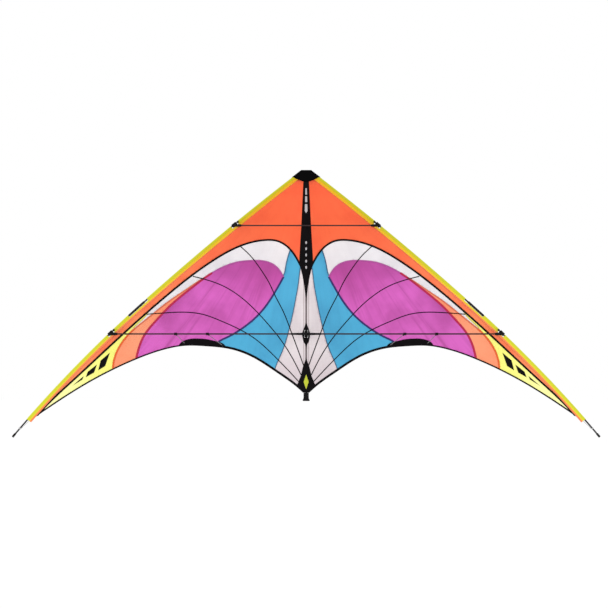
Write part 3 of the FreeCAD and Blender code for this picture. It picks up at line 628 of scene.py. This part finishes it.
def stitched(name, colour, thread, width, rows, roughness=0.6, pitch=0.0032):
    """Woven tape with rows of stitches, for pieces whose cloth map runs along and across."""
    material, nodes, links, shader = new_material(name)
    where = add(nodes, "ShaderNodeUVMap", uv_map="cloth").outputs[0]
    axes = split(nodes, links, where)
    along = calc(nodes, links, "PINGPONG", axes[0], pitch / 2)
    dash = band(nodes, links, along, pitch * 0.12, pitch * 0.2)
    weave = add(nodes, "ShaderNodeTexNoise", Scale=900.0, Detail=3.0)
    links.new(where, weave.inputs["Vector"])
    dark = tuple(c * 0.6 for c in colour[:3]) + (1.0,)
    base = mix(nodes, links, "MIX", weave.outputs[0], colour, dark)
    stitch = None
    for row in rows:
        off_row = calc(nodes, links, "SUBTRACT", axes[1], row * width * MM)
        line = band(nodes, links, calc(nodes, links, "ABSOLUTE", off_row), *STITCH_LINE)
        mark = calc(nodes, links, "MULTIPLY", line, dash)
        stitch = mark if stitch is None else calc(nodes, links, "MAXIMUM", stitch, mark)
    height = weave.outputs[0]
    if stitch is not None:
        base = mix(nodes, links, "MIX", stitch, base, thread)
        height = mix(nodes, links, "ADD", 1.0, height, stitch)
    links.new(base, shader.inputs["Base Color"])
    bump = add(nodes, "ShaderNodeBump", Strength=0.4, Distance=0.0003)
    links.new(height, bump.inputs["Height"])
    links.new(bump.outputs[0], shader.inputs["Normal"])
    shader.inputs["Roughness"].default_value = roughness
    shader.inputs["Specular IOR Level"].default_value = 0.3
    shader.inputs["Sheen Weight"].default_value = 0.15
    return material


def sleeve_cloth():
    """Heavier woven cloth: yellow-green on its round side, amber where it is sewn down.

    Further out its sewn edge is turned in under an orange binding that grows wider.
    """
    rows = [(SLEEVE_WIDTH - 1.5) / SLEEVE_WIDTH]
    material = stitched("sleeve_cloth", srgb(224, 205, 20), srgb(206, 176, 24),
                        SLEEVE_WIDTH, rows, 0.55)
    nodes, links = material.node_tree.nodes, material.node_tree.links
    shader = nodes["Principled BSDF"]
    base = shader.inputs["Base Color"].links[0].from_socket
    where = add(nodes, "ShaderNodeUVMap", uv_map="cloth").outputs[0]
    axes = split(nodes, links, where)
    sewn = band(nodes, links, axes[1], 0.001, 0.012)
    outboard = band(nodes, links, axes[0], 0.1, 1.1)
    edge_side = mix(nodes, links, "MIX", outboard, srgb(192, 190, 4), srgb(208, 214, 36))
    sail_side = mix(nodes, links, "MIX", outboard, srgb(246, 184, 2), srgb(250, 224, 18))
    ramp = mix(nodes, links, "MIX", sewn, edge_side, sail_side)
    visible = add(nodes, "ShaderNodeMapRange")
    links.new(axes[0], visible.inputs[0])
    for socket, value in enumerate((0.3, 0.9, 0.0165, 0.0090), start=1):
        visible.inputs[socket].default_value = value
    past = calc(nodes, links, "SUBTRACT", axes[1], visible.outputs[0])
    turned_in = band(nodes, links, past, -0.0003, 0.0003)
    ramp = mix(nodes, links, "MIX", turned_in, ramp, srgb(255, 130, 80))
    links.new(mix(nodes, links, "MIX", 0.9, base, ramp), shader.inputs["Base Color"])
    return material


def moulded(name, colour, roughness, grain=260.0, depth=0.0002, coat=0.0):
    """Moulded plastic or rubber: fine grain, worn paler in patches."""
    material, nodes, links, shader = new_material(name)
    where = add(nodes, "ShaderNodeTexCoord").outputs["Object"]
    fine = add(nodes, "ShaderNodeTexNoise", Scale=grain * 4, Detail=4.0)
    slow = add(nodes, "ShaderNodeTexNoise", Scale=grain / 3, Detail=3.0)
    links.new(where, fine.inputs["Vector"])
    links.new(where, slow.inputs["Vector"])
    pale = tuple(min(1.0, c * 1.8 + 0.012) for c in colour[:3]) + (1.0,)
    links.new(mix(nodes, links, "MIX", band(nodes, links, slow.outputs[0], 0.45, 0.8),
                  colour, pale), shader.inputs["Base Color"])
    rough = add(nodes, "ShaderNodeMapRange")
    links.new(slow.outputs[0], rough.inputs[0])
    rough.inputs[3].default_value = roughness - 0.08
    rough.inputs[4].default_value = roughness + 0.12
    links.new(rough.outputs[0], shader.inputs["Roughness"])
    bump = add(nodes, "ShaderNodeBump", Strength=0.3, Distance=depth)
    links.new(fine.outputs[0], bump.inputs["Height"])
    links.new(bump.outputs[0], shader.inputs["Normal"])
    shader.inputs["Specular IOR Level"].default_value = 0.12
    shader.inputs["Coat Weight"].default_value = coat
    shader.inputs["Coat Roughness"].default_value = 0.2
    return material


def wrapped_fibre(name, colour, pale, pitch=420.0, coat=0.35):
    """Carbon or glass rod: wound fibres under clear resin, scuffed along its length."""
    material, nodes, links, shader = new_material(name)
    where = add(nodes, "ShaderNodeTexCoord").outputs["Object"]
    wound = []
    for turn in (0.9, -0.9):
        turned = add(nodes, "ShaderNodeMapping")
        turned.inputs["Rotation"].default_value = (0.0, turn, 0.0)
        links.new(where, turned.inputs["Vector"])
        wave = add(nodes, "ShaderNodeTexWave", Scale=pitch, Distortion=1.5, Detail=2.0)
        links.new(turned.outputs[0], wave.inputs["Vector"])
        wound.append(wave.outputs["Fac"])
    weave = mix(nodes, links, "MULTIPLY", 1.0, wound[0], wound[1])
    scuff = add(nodes, "ShaderNodeTexNoise", Scale=60.0, Detail=5.0, Roughness=0.65)
    links.new(where, scuff.inputs["Vector"])
    base = mix(nodes, links, "MIX", weave, colour, pale)
    worn = mix(nodes, links, "MIX", band(nodes, links, scuff.outputs[0], 0.5, 0.9), base, pale)
    links.new(worn, shader.inputs["Base Color"])
    bump = add(nodes, "ShaderNodeBump", Strength=0.15, Distance=0.0001)
    links.new(weave, bump.inputs["Height"])
    links.new(bump.outputs[0], shader.inputs["Normal"])
    rough = add(nodes, "ShaderNodeMapRange")
    links.new(scuff.outputs[0], rough.inputs[0])
    rough.inputs[3].default_value = 0.28
    rough.inputs[4].default_value = 0.5
    links.new(rough.outputs[0], shader.inputs["Roughness"])
    shader.inputs["Specular IOR Level"].default_value = 0.15
    shader.inputs["Coat Weight"].default_value = coat
    shader.inputs["Coat Roughness"].default_value = 0.15
    return material


def braid():
    """Braided line: two crossing spirals of strands."""
    material = wrapped_fibre("braided_line", srgb(150, 150, 152), srgb(205, 205, 205), 900.0, 0.0)
    shader = material.node_tree.nodes["Principled BSDF"]
    shader.inputs["Sheen Weight"].default_value = 0.3
    return material


def matte(material):
    """The dull black cloths have no sheen and reflect little."""
    shader = material.node_tree.nodes["Principled BSDF"]
    shader.inputs["Specular IOR Level"].default_value = 0.05
    shader.inputs["Sheen Weight"].default_value = 0.0
    return material


BLACK = srgb(9, 7, 9)
BLACK_THREAD = srgb(34, 31, 34)
CLOTHS = {
    "upper_orange_panel": sailcloth(
        "upper_orange_cloth", srgb(252, 102, 54), srgb(242, 84, 44),
        fade=(srgb(255, 140, 88), 0.2, 0.95)),
    "outer_orange_panel": sailcloth(
        "outer_orange_cloth", srgb(253, 156, 114), srgb(246, 132, 88)),
    "magenta_panel": sailcloth(
        "magenta_cloth", srgb(186, 62, 154), srgb(168, 58, 140), crease_shade=0.8,
        fade=(srgb(218, 96, 194), 0.33, 0.62)),
    "blue_panel": sailcloth("blue_cloth", srgb(70, 172, 214), srgb(56, 148, 192), crease_shade=0.5),
    "upper_white_panel": sailcloth(
        "upper_white_cloth", srgb(238, 234, 237), srgb(216, 211, 216)),
    "inner_white_panel": sailcloth(
        "inner_white_cloth", srgb(232, 224, 226), srgb(208, 198, 202), grid=0.2,
        fade=(srgb(214, 202, 206), 0.62, 0.80)),
    "yellow_tip_panel": sailcloth(
        "yellow_tip_cloth", srgb(252, 250, 128), srgb(242, 238, 112),
        fade=(srgb(255, 255, 186), 1.0, 1.35)),
}
# painted shadow of the spine and its pocket on the inner white cloth
paint_spine_shadow(CLOTHS["inner_white_panel"], srgb(168, 152, 154))
BLACK_CLOTH = matte(sailcloth("black_patch_cloth", BLACK, srgb(20, 17, 20), roughness=0.5))
TAPE = matte(stitched("black_tape", BLACK, BLACK_THREAD, 6.5, (0.15, 0.85)))
HEM = matte(stitched("black_hem_tape", BLACK, BLACK_THREAD, HEM_WIDTH, (0.18, 0.8)))
THIN_TAPE = matte(stitched("thin_black_tape", srgb(16, 13, 16), BLACK_THREAD, 2.4, ()))
WEBBING = matte(stitched("nose_webbing", srgb(4, 3, 4), BLACK_THREAD, 1.0, (), 0.75))
SLEEVE = sleeve_cloth()
POCKET = sailcloth("pocket_cloth", srgb(226, 220, 222), srgb(200, 190, 194), roughness=0.55)
PALE_MARK = sailcloth("pale_mark_cloth", srgb(190, 188, 192), grid=0.05)
GREEN_MARK = sailcloth("yellow_green_mark_cloth", srgb(196, 206, 40), grid=0.05)
RIMS = {
    "magenta_orange": stitched("crimson_overlap", srgb(205, 14, 78), srgb(172, 14, 68), 6.0,
                               (0.2, 0.8), 0.5),
    "magenta_blue": stitched("navy_overlap", srgb(45, 35, 110), srgb(66, 56, 128), 6.0,
                             (0.2, 0.8), 0.5),
    "magenta_white": stitched("deep_magenta_overlap", srgb(196, 86, 172), srgb(150, 60, 130), 6.0,
                              (0.2, 0.8), 0.5),
    "orange_white": stitched("light_orange_overlap", srgb(238, 120, 84), srgb(200, 90, 60), 6.0,
                             (0.2, 0.8), 0.5),
    "orange_yellow": stitched("deep_orange_overlap", srgb(255, 105, 30), srgb(214, 84, 26), 6.0,
                              (0.2, 0.8), 0.5),
    "blue_white": stitched("teal_overlap", srgb(46, 92, 128), srgb(90, 130, 160), 3.5,
                           (0.5,), 0.5),
    "yellow_white": stitched("deep_yellow_overlap", srgb(236, 226, 112), srgb(190, 180, 80), 4.0,
                             (0.5,), 0.5),
}
SLOT_MATERIALS = {
    "carbon_rod": wrapped_fibre("carbon_rod", srgb(20, 18, 20), srgb(46, 43, 46), coat=0.15),
    "spreader_rod": wrapped_fibre("spreader_rod", srgb(44, 30, 32), srgb(66, 50, 50), coat=0.05),
    "pale_rod": wrapped_fibre("glass_rod", srgb(112, 104, 108), srgb(146, 140, 142), coat=0.1),
    "black_ferrule": moulded("ferrule_finish", srgb(14, 12, 14), 0.32, coat=0.2),
    "black_plastic": moulded("black_nylon", srgb(14, 12, 14), 0.42),
    "black_rubber": moulded("black_rubber", srgb(12, 10, 12), 0.6),
    "grey_cord": braid(),
}


# ---------------------------------------------------------------- the sail's pieces

def wing_outline():
    """The right wing's cloth, seen from the front, inside the sleeve's sewn edge."""
    sewn = SLEEVE_WIDTH + 0.3
    trailing = [p for p in TRAILING_LINE if inset_of(*p) > sewn and p[0] > NOTCH_HALF_WIDTH]
    tip = edge_distance_of(*trailing[-1])
    nose_height = 590.0
    leading = []
    distance = tip - 3.0
    while edge_point(distance, sewn)[1] < nose_height:
        leading.append(edge_point(distance, sewn))
        distance -= 7.0
    hole = [(0.0, 13.8), (7.0, 13.8), (7.0, -13.8), (0.0, -13.8)]
    notch = [(0.0, NOTCH_TOP), (NOTCH_HALF_WIDTH, NOTCH_TOP)]
    spine_top = [(0.0, z) for z in np.linspace(nose_height, hole[0][1], 70)]
    spine_foot = [(0.0, z) for z in np.linspace(hole[-1][1], NOTCH_TOP, 26)][1:]
    corner = (NOTCH_HALF_WIDTH, trailing_height(NOTCH_HALF_WIDTH))
    return [corner] + trailing + leading + spine_top + hole[1:] + spine_foot + notch[1:]


def edge_distance_of(x, z):
    """How far down the leading edge a place beside it is."""
    slope = math.atan2(z - LOWER.centre[1], x - LOWER.centre[0])
    return UPPER.length + (LOWER.slope - slope) * LOWER.bend


OUTLINE = wing_outline()
GRID = 9.0


def panel_meshes():
    """The wing's triangles sorted by panel, as points of the front view and faces."""
    lines = []
    for line in (SEAM_LINE, EYE_LINE, ORANGE_LINE, BLUE_OUTER_LINE, BLUE_INNER_LINE, YELLOW_LINE):
        lines.append([p for p in line if inside(OUTLINE, *p)])
    flat_points, faces = triangulate(OUTLINE, lines, GRID)
    groups = {}
    for face in faces:
        x, z = np.mean([flat_points[i] for i in face], axis=0)
        groups.setdefault(panel_at(x, z), []).append(face)
    meshes = {}
    for name, members in groups.items():
        used = sorted(set(i for face in members for i in face))
        index = {old: new for new, old in enumerate(used)}
        meshes[name] = ([flat_points[i] for i in used],
                        [tuple(index[i] for i in face) for face in members])
    return meshes


def clipped(line, keep):
    """The stretch of a line where keep says yes."""
    return [p for p in line if keep(*p)]


def below_seam(x, z):
    return z < seam_height(x)


def over_trailing_edge(x, z):
    return z > trailing_height(x) + 1.0 and inset_of(x, z) > SLEEVE_WIDTH


def between_eye_and_seam(x, z):
    return below_seam(x, z) and not inside(EYE_AREA, x, z)


def follow_standoffs(piece):
    """Bakes a piece's placement into its mesh; it does not bend the sail from its rods to the clips
    as the standoffs swing.
    """
    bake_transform(piece)


def paint(piece, material):
    piece.data.materials.append(material)
    return piece


RIM_THICKNESS = 0.9
RADIAL_THICKNESS = 1.1


def rims(side_name, side):
    """The overlapped seams between panels, by the panel that carries each of them."""
    eye_top = clipped(smooth(EYE_TOP, 3.0), over_trailing_edge)
    eye_foot = clipped(smooth(EYE_FOOT, 3.0), over_trailing_edge)
    orange_end = next(i for i, p in enumerate(eye_top) if p[0] < 352)
    stretches = [
        ("crimson_rim", "outer_orange_panel", eye_top[:orange_end + 1], 3.8, "magenta_orange",
         "magenta_cloth"),
        ("magenta_rim", "upper_white_panel", eye_top[orange_end:], 2.4,
         "magenta_white", "magenta_cloth"),
        ("navy_rim", "magenta_panel", eye_foot, 3.4, "magenta_blue", "blue_cloth"),
    ]
    outer = clipped(smooth(ORANGE_OUTER_EDGE, 3.0),
                    lambda x, z: over_trailing_edge(x, z) and not inside(EYE_AREA, x, z))
    split = next(i for i, p in enumerate(outer) if p[0] < 640)
    stretches.append(("deep_orange_rim", "yellow_tip_panel", outer[:split + 1], 3.2,
                      "orange_yellow", "pale_orange_cloth"))
    stretches.append(("light_orange_rim", "outer_orange_panel", outer[split:], 2.4,
                      "orange_white", "pale_orange_cloth"))
    stretches.append(("outer_teal_rim", "blue_panel",
                      clipped(smooth(BLUE_OUTER_EDGE, 3.0), between_eye_and_seam), 1.6,
                      "blue_white", "blue_cloth"))
    stretches.append(("inner_teal_rim", "inner_white_panel",
                      clipped(smooth(BLUE_INNER_EDGE, 3.0),
                              lambda x, z: below_seam(x, z) and over_trailing_edge(x, z)), 1.4,
                      "blue_white", "blue_cloth"))
    stretches.append(("yellow_rim", "yellow_tip_panel",
                      clipped(smooth(YELLOW_EDGE, 3.0),
                              lambda x, z: below_seam(x, z) and x < 644), 2.0,
                      "yellow_white", "yellow_cloth"))
    made = {}
    for name, carrier, line, half, colour, slot in stretches:
        piece = ribbon("%s_%s" % (name, side_name), side, line, half, -half, RIM_THICKNESS)
        made.setdefault(carrier, []).append(paint(piece, RIMS[colour]))
    return made


def hem_share(x):
    """How much of its full width the hem keeps: it narrows outboard of the standoffs."""
    return float(np.interp(x, (300, 470), (1.0, 0.6)))


def seam_and_hem(side_name, side):
    """The wide black seam tape, the hem of the trailing edge and the thin radial tapes."""
    seam = clipped(smooth(SEAM, 4.0), lambda x, z: x > 12 and over_trailing_edge(x, z))
    tape = ribbon("black_seam_tape_" + side_name, side, seam, 3.25, -3.25, 1.2)
    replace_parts(paint(tape, TAPE), "seam_tape_" + side_name)
    hem_line = clipped(smooth(TRAILING_EDGE, 4.0),
                       lambda x, z: x > NOTCH_HALF_WIDTH and inset_of(x, z) > 12.0)
    hem = ribbon("black_hem_" + side_name, side, hem_line, HEM_WIDTH, 0.0, 1.3,
                 narrowing=hem_share)
    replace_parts(paint(hem, HEM), "trailing_hem_" + side_name)
    tapes = []
    for number, line in enumerate(RADIAL_TAPES, start=1):
        piece = ribbon("radial_tape_%d_%s" % (number, side_name), side, smooth(line, 4.0),
                       1.7, -1.7, RADIAL_THICKNESS)
        tapes.append(paint(piece, THIN_TAPE))
    return tape, hem, tapes


def tip_marks(side_name, side):
    """Plain dark shapes sewn on the yellow tip."""
    flat_points, faces, uvs = [], [], []
    for outline in TIP_MARKS:
        dense = []
        for (ax, az), (bx, bz) in zip(outline, outline[1:] + outline[:1]):
            dense += [(ax + (bx - ax) * t / 5, az + (bz - az) * t / 5) for t in range(5)]
        points, triangles = triangulate(dense, [], 8.0)
        faces += [tuple(i + len(flat_points) for i in face) for face in triangles]
        flat_points += points
        uvs += [rolled_out(x, z) for x, z in points]
    points, faces = mirrored(side, on_sail(flat_points, 0.25), faces)
    piece = thicken(new_object("tip_marks_" + side_name, points, faces, uvs), 0.8)
    return paint(piece, BLACK_CLOTH)


def trailing_patch(side_name, side):
    """The black crescent that backs the standoffs' clips."""
    top = [p for p in smooth(EDGE_PATCH, 5.0) if p[1] > trailing_height(p[0]) + 0.5]
    first, last = top[-1][0], top[0][0]
    foot = [p for p in TRAILING_LINE if first + 2 < p[0] < last - 2]
    piece = patch("black_crescent_" + side_name, side, foot + top, 0.85, 1.6)
    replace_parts(paint(piece, BLACK_CLOTH), "trailing_patch_" + side_name)
    return piece


SLEEVE_SECTION_STEPS = 18
TAIL_INSETS = (14.0, 12.0, 9.5, 7.2, 5.0)


def between(start, end, inset):
    """The point at an inset on a straight side of the sleeve's section."""
    share = (inset - start[0]) / (end[0] - start[0])
    return tuple(a + (b - a) * share for a, b in zip(start, end))


def sleeve_section():
    """Inset and depth of the sleeve's section round the rod, from its sewn line and back to it."""
    edge_angle = polar(*UPPER.end)[1]
    lean = math.atan(BILLOW * math.pi / edge_angle)
    length = SLEEVE_WIDTH / math.cos(lean)
    spread = math.acos(SLEEVE_RADIUS / length)

    def place(angle, reach):
        return reach * math.cos(angle), reach * math.sin(angle)

    tip = place(lean, length)
    upper, lower = place(lean + spread, SLEEVE_RADIUS), place(lean - spread, SLEEVE_RADIUS)
    section = [tip]
    for inset in TAIL_INSETS:
        section.append(between(lower, tip, inset))
    sweep = 2 * (math.pi - spread)
    for step in range(SLEEVE_SECTION_STEPS + 1):
        angle = lean - spread - sweep * step / SLEEVE_SECTION_STEPS
        section.append(place(angle, SLEEVE_RADIUS))
    for inset in reversed(TAIL_INSETS):
        section.append(between(upper, tip, inset))
    section.append(tip)
    return section


def sleeve(side_name, side):
    """The leading edge sleeve, with gathered edges and windows for fittings and ferrule."""
    section = sleeve_section()
    stations = set(np.arange(SLEEVE_START, SLEEVE_END, 4.0))
    stations.add(SLEEVE_END)
    for middle, width, _ in WINDOWS:
        stations.update((middle - width / 2, middle + width / 2))
    stations = sorted(stations)
    points, uvs = [], []
    count = len(section)
    for distance in stations:
        for index, (inset, back) in enumerate(section):
            gather = 0.18 * math.sin(distance / 3.1) * (1.0 if inset > 5 else 0.25)
            x, z = edge_point(distance, inset)
            points.append((x, SAIL_Y + back + (gather if inset < 15 else 0), z))
            uvs.append((distance * MM, max(inset, 0.0) * MM))
    faces = []
    for row in range(len(stations) - 1):
        middle = (stations[row] + stations[row + 1]) / 2
        bare = [edge for place, width, edge in WINDOWS if abs(middle - place) < width / 2]
        for column in range(count - 1):
            inset = (section[column][0] + section[column + 1][0]) / 2
            if bare and inset < bare[0]:
                continue
            a = row * count + column
            faces.append((a, a + 1, a + count + 1, a + count))
    points, faces = mirrored(side, points, faces)
    piece = new_object("edge_sleeve_cloth_" + side_name, points, faces, uvs)
    weld(piece)
    thicken(piece, CLOTH)
    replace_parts(paint(piece, SLEEVE), "edge_sleeve_" + side_name)
    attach(piece, "airframe")
    return piece


def wing(side_name, side, meshes):
    """Every cloth piece of one wing."""
    carried = rims(side_name, side)
    tape, hem, radial = seam_and_hem(side_name, side)
    marks = tip_marks(side_name, side)
    crescent = trailing_patch(side_name, side)
    carried.setdefault("upper_orange_panel", []).append(tape)
    carried.setdefault("magenta_panel", []).extend([hem, crescent])
    carried.setdefault("blue_panel", []).extend(radial)
    carried.setdefault("yellow_tip_panel", []).append(marks)
    for name, (flat_points, faces) in sorted(meshes.items()):
        cuts = [rolled_out(x, z) for x, z in flat_points]
        points, side_faces = mirrored(side, on_sail(flat_points, 0.0), faces)
        piece = new_object("%s_cloth_%s" % (name, side_name), points, side_faces, cuts)
        thicken(piece, CLOTH)
        paint(piece, CLOTHS[name])
        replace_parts(piece, "%s_%s" % (name, side_name))
        follow_standoffs(piece)
        for extra in carried.get(name, []):
            follow_standoffs(extra)
    sleeve(side_name, side)


# ---------------------------------------------------------------- along the spine

def flat_shape(name, outlines, forward, thickness, material):
    """Plain shapes on the spine strip or tail patch, from right halves of their outlines."""
    flat_points, faces = [], []
    for outline in outlines:
        points, triangles = triangulate(outline, [], 4.0)
        faces += [tuple(i + len(flat_points) for i in face) for face in triangles]
        flat_points += points
    right = on_sail(flat_points, forward)
    left, left_faces = mirrored(-1, right, faces)
    first = len(right)
    faces = faces + [tuple(i + first for i in face) for face in left_faces]
    cuts = [rolled_out(x, z) for x, z in flat_points]
    piece = new_object(name, right + left, faces, cuts + [(-u, v) for u, v in cuts])
    weld(piece)
    thicken(piece, thickness)
    paint(piece, material)
    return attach(piece, "airframe")


def dense_outline(outline, step=5.0):
    """An outline with points added along its long sides."""
    points = []
    for (ax, az), (bx, bz) in zip(outline, outline[1:] + outline[:1]):
        count = max(1, round(math.dist((ax, az), (bx, bz)) / step))
        points += [(ax + (bx - ax) * t / count, az + (bz - az) * t / count) for t in range(count)]
    return points


def outline_area(outline):
    """The area inside an outline."""
    turns = zip(outline, outline[1:] + outline[:1])
    return abs(sum(ax * bz - bx * az for (ax, az), (bx, bz) in turns)) / 2


def spine_pieces():
    """The strip, centre patch and tail patch on the front, with their plain pale shapes."""
    strip = both_wings_patch("black_spine_strip", dense_outline(STRIP), 0.5, 0.35)
    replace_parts(paint(strip, BLACK_CLOTH), "spine_strip")
    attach(strip, "airframe")
    lean = math.hypot(1.0, BILLOW * math.pi / UNROLL_EDGE)
    2 * outline_area(STRIP) * MM * MM * lean
    centre = both_wings_patch("black_centre_patch", dense_outline(
        CENTRE_PATCH + [(0, -14.0), (7.2, -14.0), (7.2, 14.0), (0, 14.0)], 4.0), 0.5, 0.35, 4.0)
    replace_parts(paint(centre, BLACK_CLOTH), "centre_patch")
    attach(centre, "airframe")
    foot = [p for p in TRAILING_LINE if NOTCH_HALF_WIDTH < p[0] < 36]
    notch = [(0, NOTCH_TOP), (NOTCH_HALF_WIDTH, NOTCH_TOP)]
    tail = both_wings_patch("black_tail_patch", dense_outline(
        TAIL_PATCH[:1] + notch + foot + TAIL_PATCH[3:0:-1]), 0.95, 0.9)
    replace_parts(paint(tail, BLACK_CLOTH), "tail_patch")
    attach(tail, "airframe")
    bars = [[(0, 541), (2.6, 541), (3.4, 517), (0, 517)],
            [(0, 511), (3.6, 511), (4.4, 489), (0, 489)],
            [(0, 482), (4.6, 482), (5.4, 456), (0, 448)]]
    dashes = [[(0, top), (3.2, top - 3), (3.2, top - 9), (0, top - 12)]
              for top in (345, 322, 299, 276, 253)]
    flat_shape("pale_strip_marks", [dense_outline(o, 4.0) for o in bars + dashes], 0.62, 0.12,
               PALE_MARK)
    lozenge = [(0, -150), (9.5, -178), (0, -206)]
    flat_shape("tail_lozenge", [dense_outline(lozenge, 4.0)], 1.1, 0.12, GREEN_MARK)


def spine_pocket():
    """The pocket behind the sail that holds the spine, gathered at its sewn edges."""
    half = 9.5
    rim = SAIL_Y + 6.27
    crown = SPINE_Y + SPINE_RADIUS + 0.5
    columns = 12
    points, faces, uvs = [], [], []
    for bottom, top in ((-216.5, -17.0), (17.0, 562.0)):
        rows = round((top - bottom) / 4)
        first = len(points)
        for row in range(rows + 1):
            z = bottom + (top - bottom) * row / rows
            for column in range(columns + 1):
                x = half * (2 * column / columns - 1)
                share = 1 - (x / half) ** 2
                gather = 0.2 * (1 - share) * math.sin(z / 2.6)
                points.append((x, rim + (crown - rim) * share + gather + CLOTH, z))
                uvs.append((x * MM, z * MM))
        for row in range(rows):
            for column in range(columns):
                a = first + row * (columns + 1) + column
                faces.append((a + 1, a, a + columns + 1, a + columns + 2))
    piece = thicken(new_object("spine_pocket_cloth", points, faces, uvs), CLOTH)
    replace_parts(paint(piece, POCKET), "spine_pocket")
    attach(piece, "airframe")


def nose():
    """Thick folded webbing over the rods' ends, rounded at its edges and quilted by its seams."""
    outside = -SLEEVE_RADIUS - 1.6
    top = UPPER.point_at(-13.0, outside)
    corner = UPPER.point_at(31.0, outside)
    half = [(0, top[1]), top, corner, (11.0, 565.5), (0, 565.5)]
    whole = half[1:4] + [(-x, z) for x, z in reversed(half[1:4])]
    outline = dense_outline(whole, 2.0)
    flat_points, faces = triangulate(outline, [], 2.2)
    ends = np.array(outline)
    thick = 15.0
    middle = SAIL_Y - 5.5 + thick / 2
    round_reach = 4.0

    def half_thickness(x, z):
        gap = float(np.min(np.linalg.norm(ends - (x, z), axis=1)))
        reach = min(gap, round_reach) / round_reach
        swell = thick / 2 * math.sqrt(max(0.0, 1 - (1 - reach) ** 2))
        groove = 0.5 * math.exp(-((gap - 5.5) / 0.7) ** 2)
        return max(swell - groove, 0.0)

    depth = [half_thickness(x, z) for x, z in flat_points]
    count = len(flat_points)
    points = [(x, middle - d, z) for (x, z), d in zip(flat_points, depth)]
    points += [(x, middle + d, z) for (x, z), d in zip(flat_points, depth)]
    faces = faces + [tuple(i + count for i in reversed(face)) for face in faces]
    uvs = [(x * MM, z * MM) for x, z in flat_points] * 2
    piece = new_object("nose_webbing_piece", points, faces, uvs)
    weld(piece)
    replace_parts(paint(piece, WEBBING), "nose_piece")
    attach(piece, "airframe")


# ---------------------------------------------------------------- the whole kite

def dress_frame():
    """Rods and fittings keep their CAD shape and get their material by slot."""
    slots = {row["node"]: row["material_slot"] for row in frame["record"]["subparts"]}
    for name, node in frame["nodes"].items():
        material = SLOT_MATERIALS.get(slots[name])
        if material is None:
            continue
        if not node.material_slots:
            raise ValueError(name + " has no material slot")
        for holder in node.material_slots:
            holder.link = "OBJECT"
            holder.material = material


def studio():
    """A pale floor below the kite, even white light and one soft key."""
    low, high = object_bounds()
    world = bpy.data.worlds.new("studio")
    bpy.context.scene.world = world
    world.use_nodes = True
    world.node_tree.nodes["Background"].inputs["Color"].default_value = (1, 1, 1, 1)
    world.node_tree.nodes["Background"].inputs["Strength"].default_value = 1.0
    reach = 30.0
    floor_height = low[2] - 0.7
    mesh = bpy.data.meshes.new("floor")
    mesh.from_pydata([(-reach, -reach, floor_height), (reach, -reach, floor_height),
                      (reach, reach, floor_height), (-reach, reach, floor_height)],
                     [], [(0, 1, 2, 3)])
    floor = bpy.data.objects.new("floor", mesh)
    bpy.context.scene.collection.objects.link(floor)
    material, nodes, links, shader = new_material("pale_floor")
    shader.inputs["Base Color"].default_value = (0.86, 0.86, 0.86, 1)
    shader.inputs["Roughness"].default_value = 0.9
    shader.inputs["Emission Color"].default_value = (1, 1, 1, 1)
    shader.inputs["Emission Strength"].default_value = 0.14
    floor.data.materials.append(material)
    floor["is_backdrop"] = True
    key = bpy.data.lights.new("key", "AREA")
    key.size = 4.0
    key.energy = 60.0
    lamp = bpy.data.objects.new("key", key)
    lamp.location = (-2.4, -5.5, 3.6)
    lamp.rotation_euler = (Vector((0, 0, 0.1)) - lamp.location).to_track_quat(
        "-Z", "Y").to_euler()
    bpy.context.scene.collection.objects.link(lamp)


def camera():
    """A long lens square to the kite's front."""
    lens = bpy.data.cameras.new("camera")
    lens.lens = 200.0
    lens.sensor_width = 36.0
    lens.clip_end = 200.0
    view_width = 2.258
    distance = view_width * lens.lens / lens.sensor_width
    eye = bpy.data.objects.new("camera", lens)
    eye.location = (-0.008, 0.03 - distance, 0.111)
    eye.rotation_euler = (math.pi / 2, 0, 0)
    bpy.context.scene.collection.objects.link(eye)
    bpy.context.scene.camera = eye


bpy.context.scene.view_settings.view_transform = "Standard"
panel_shapes = panel_meshes()
for wing_name, wing_side in SIDES:
    wing(wing_name, wing_side, panel_shapes)
spine_pieces()
spine_pocket()
nose()
dress_frame()
studio()
camera()
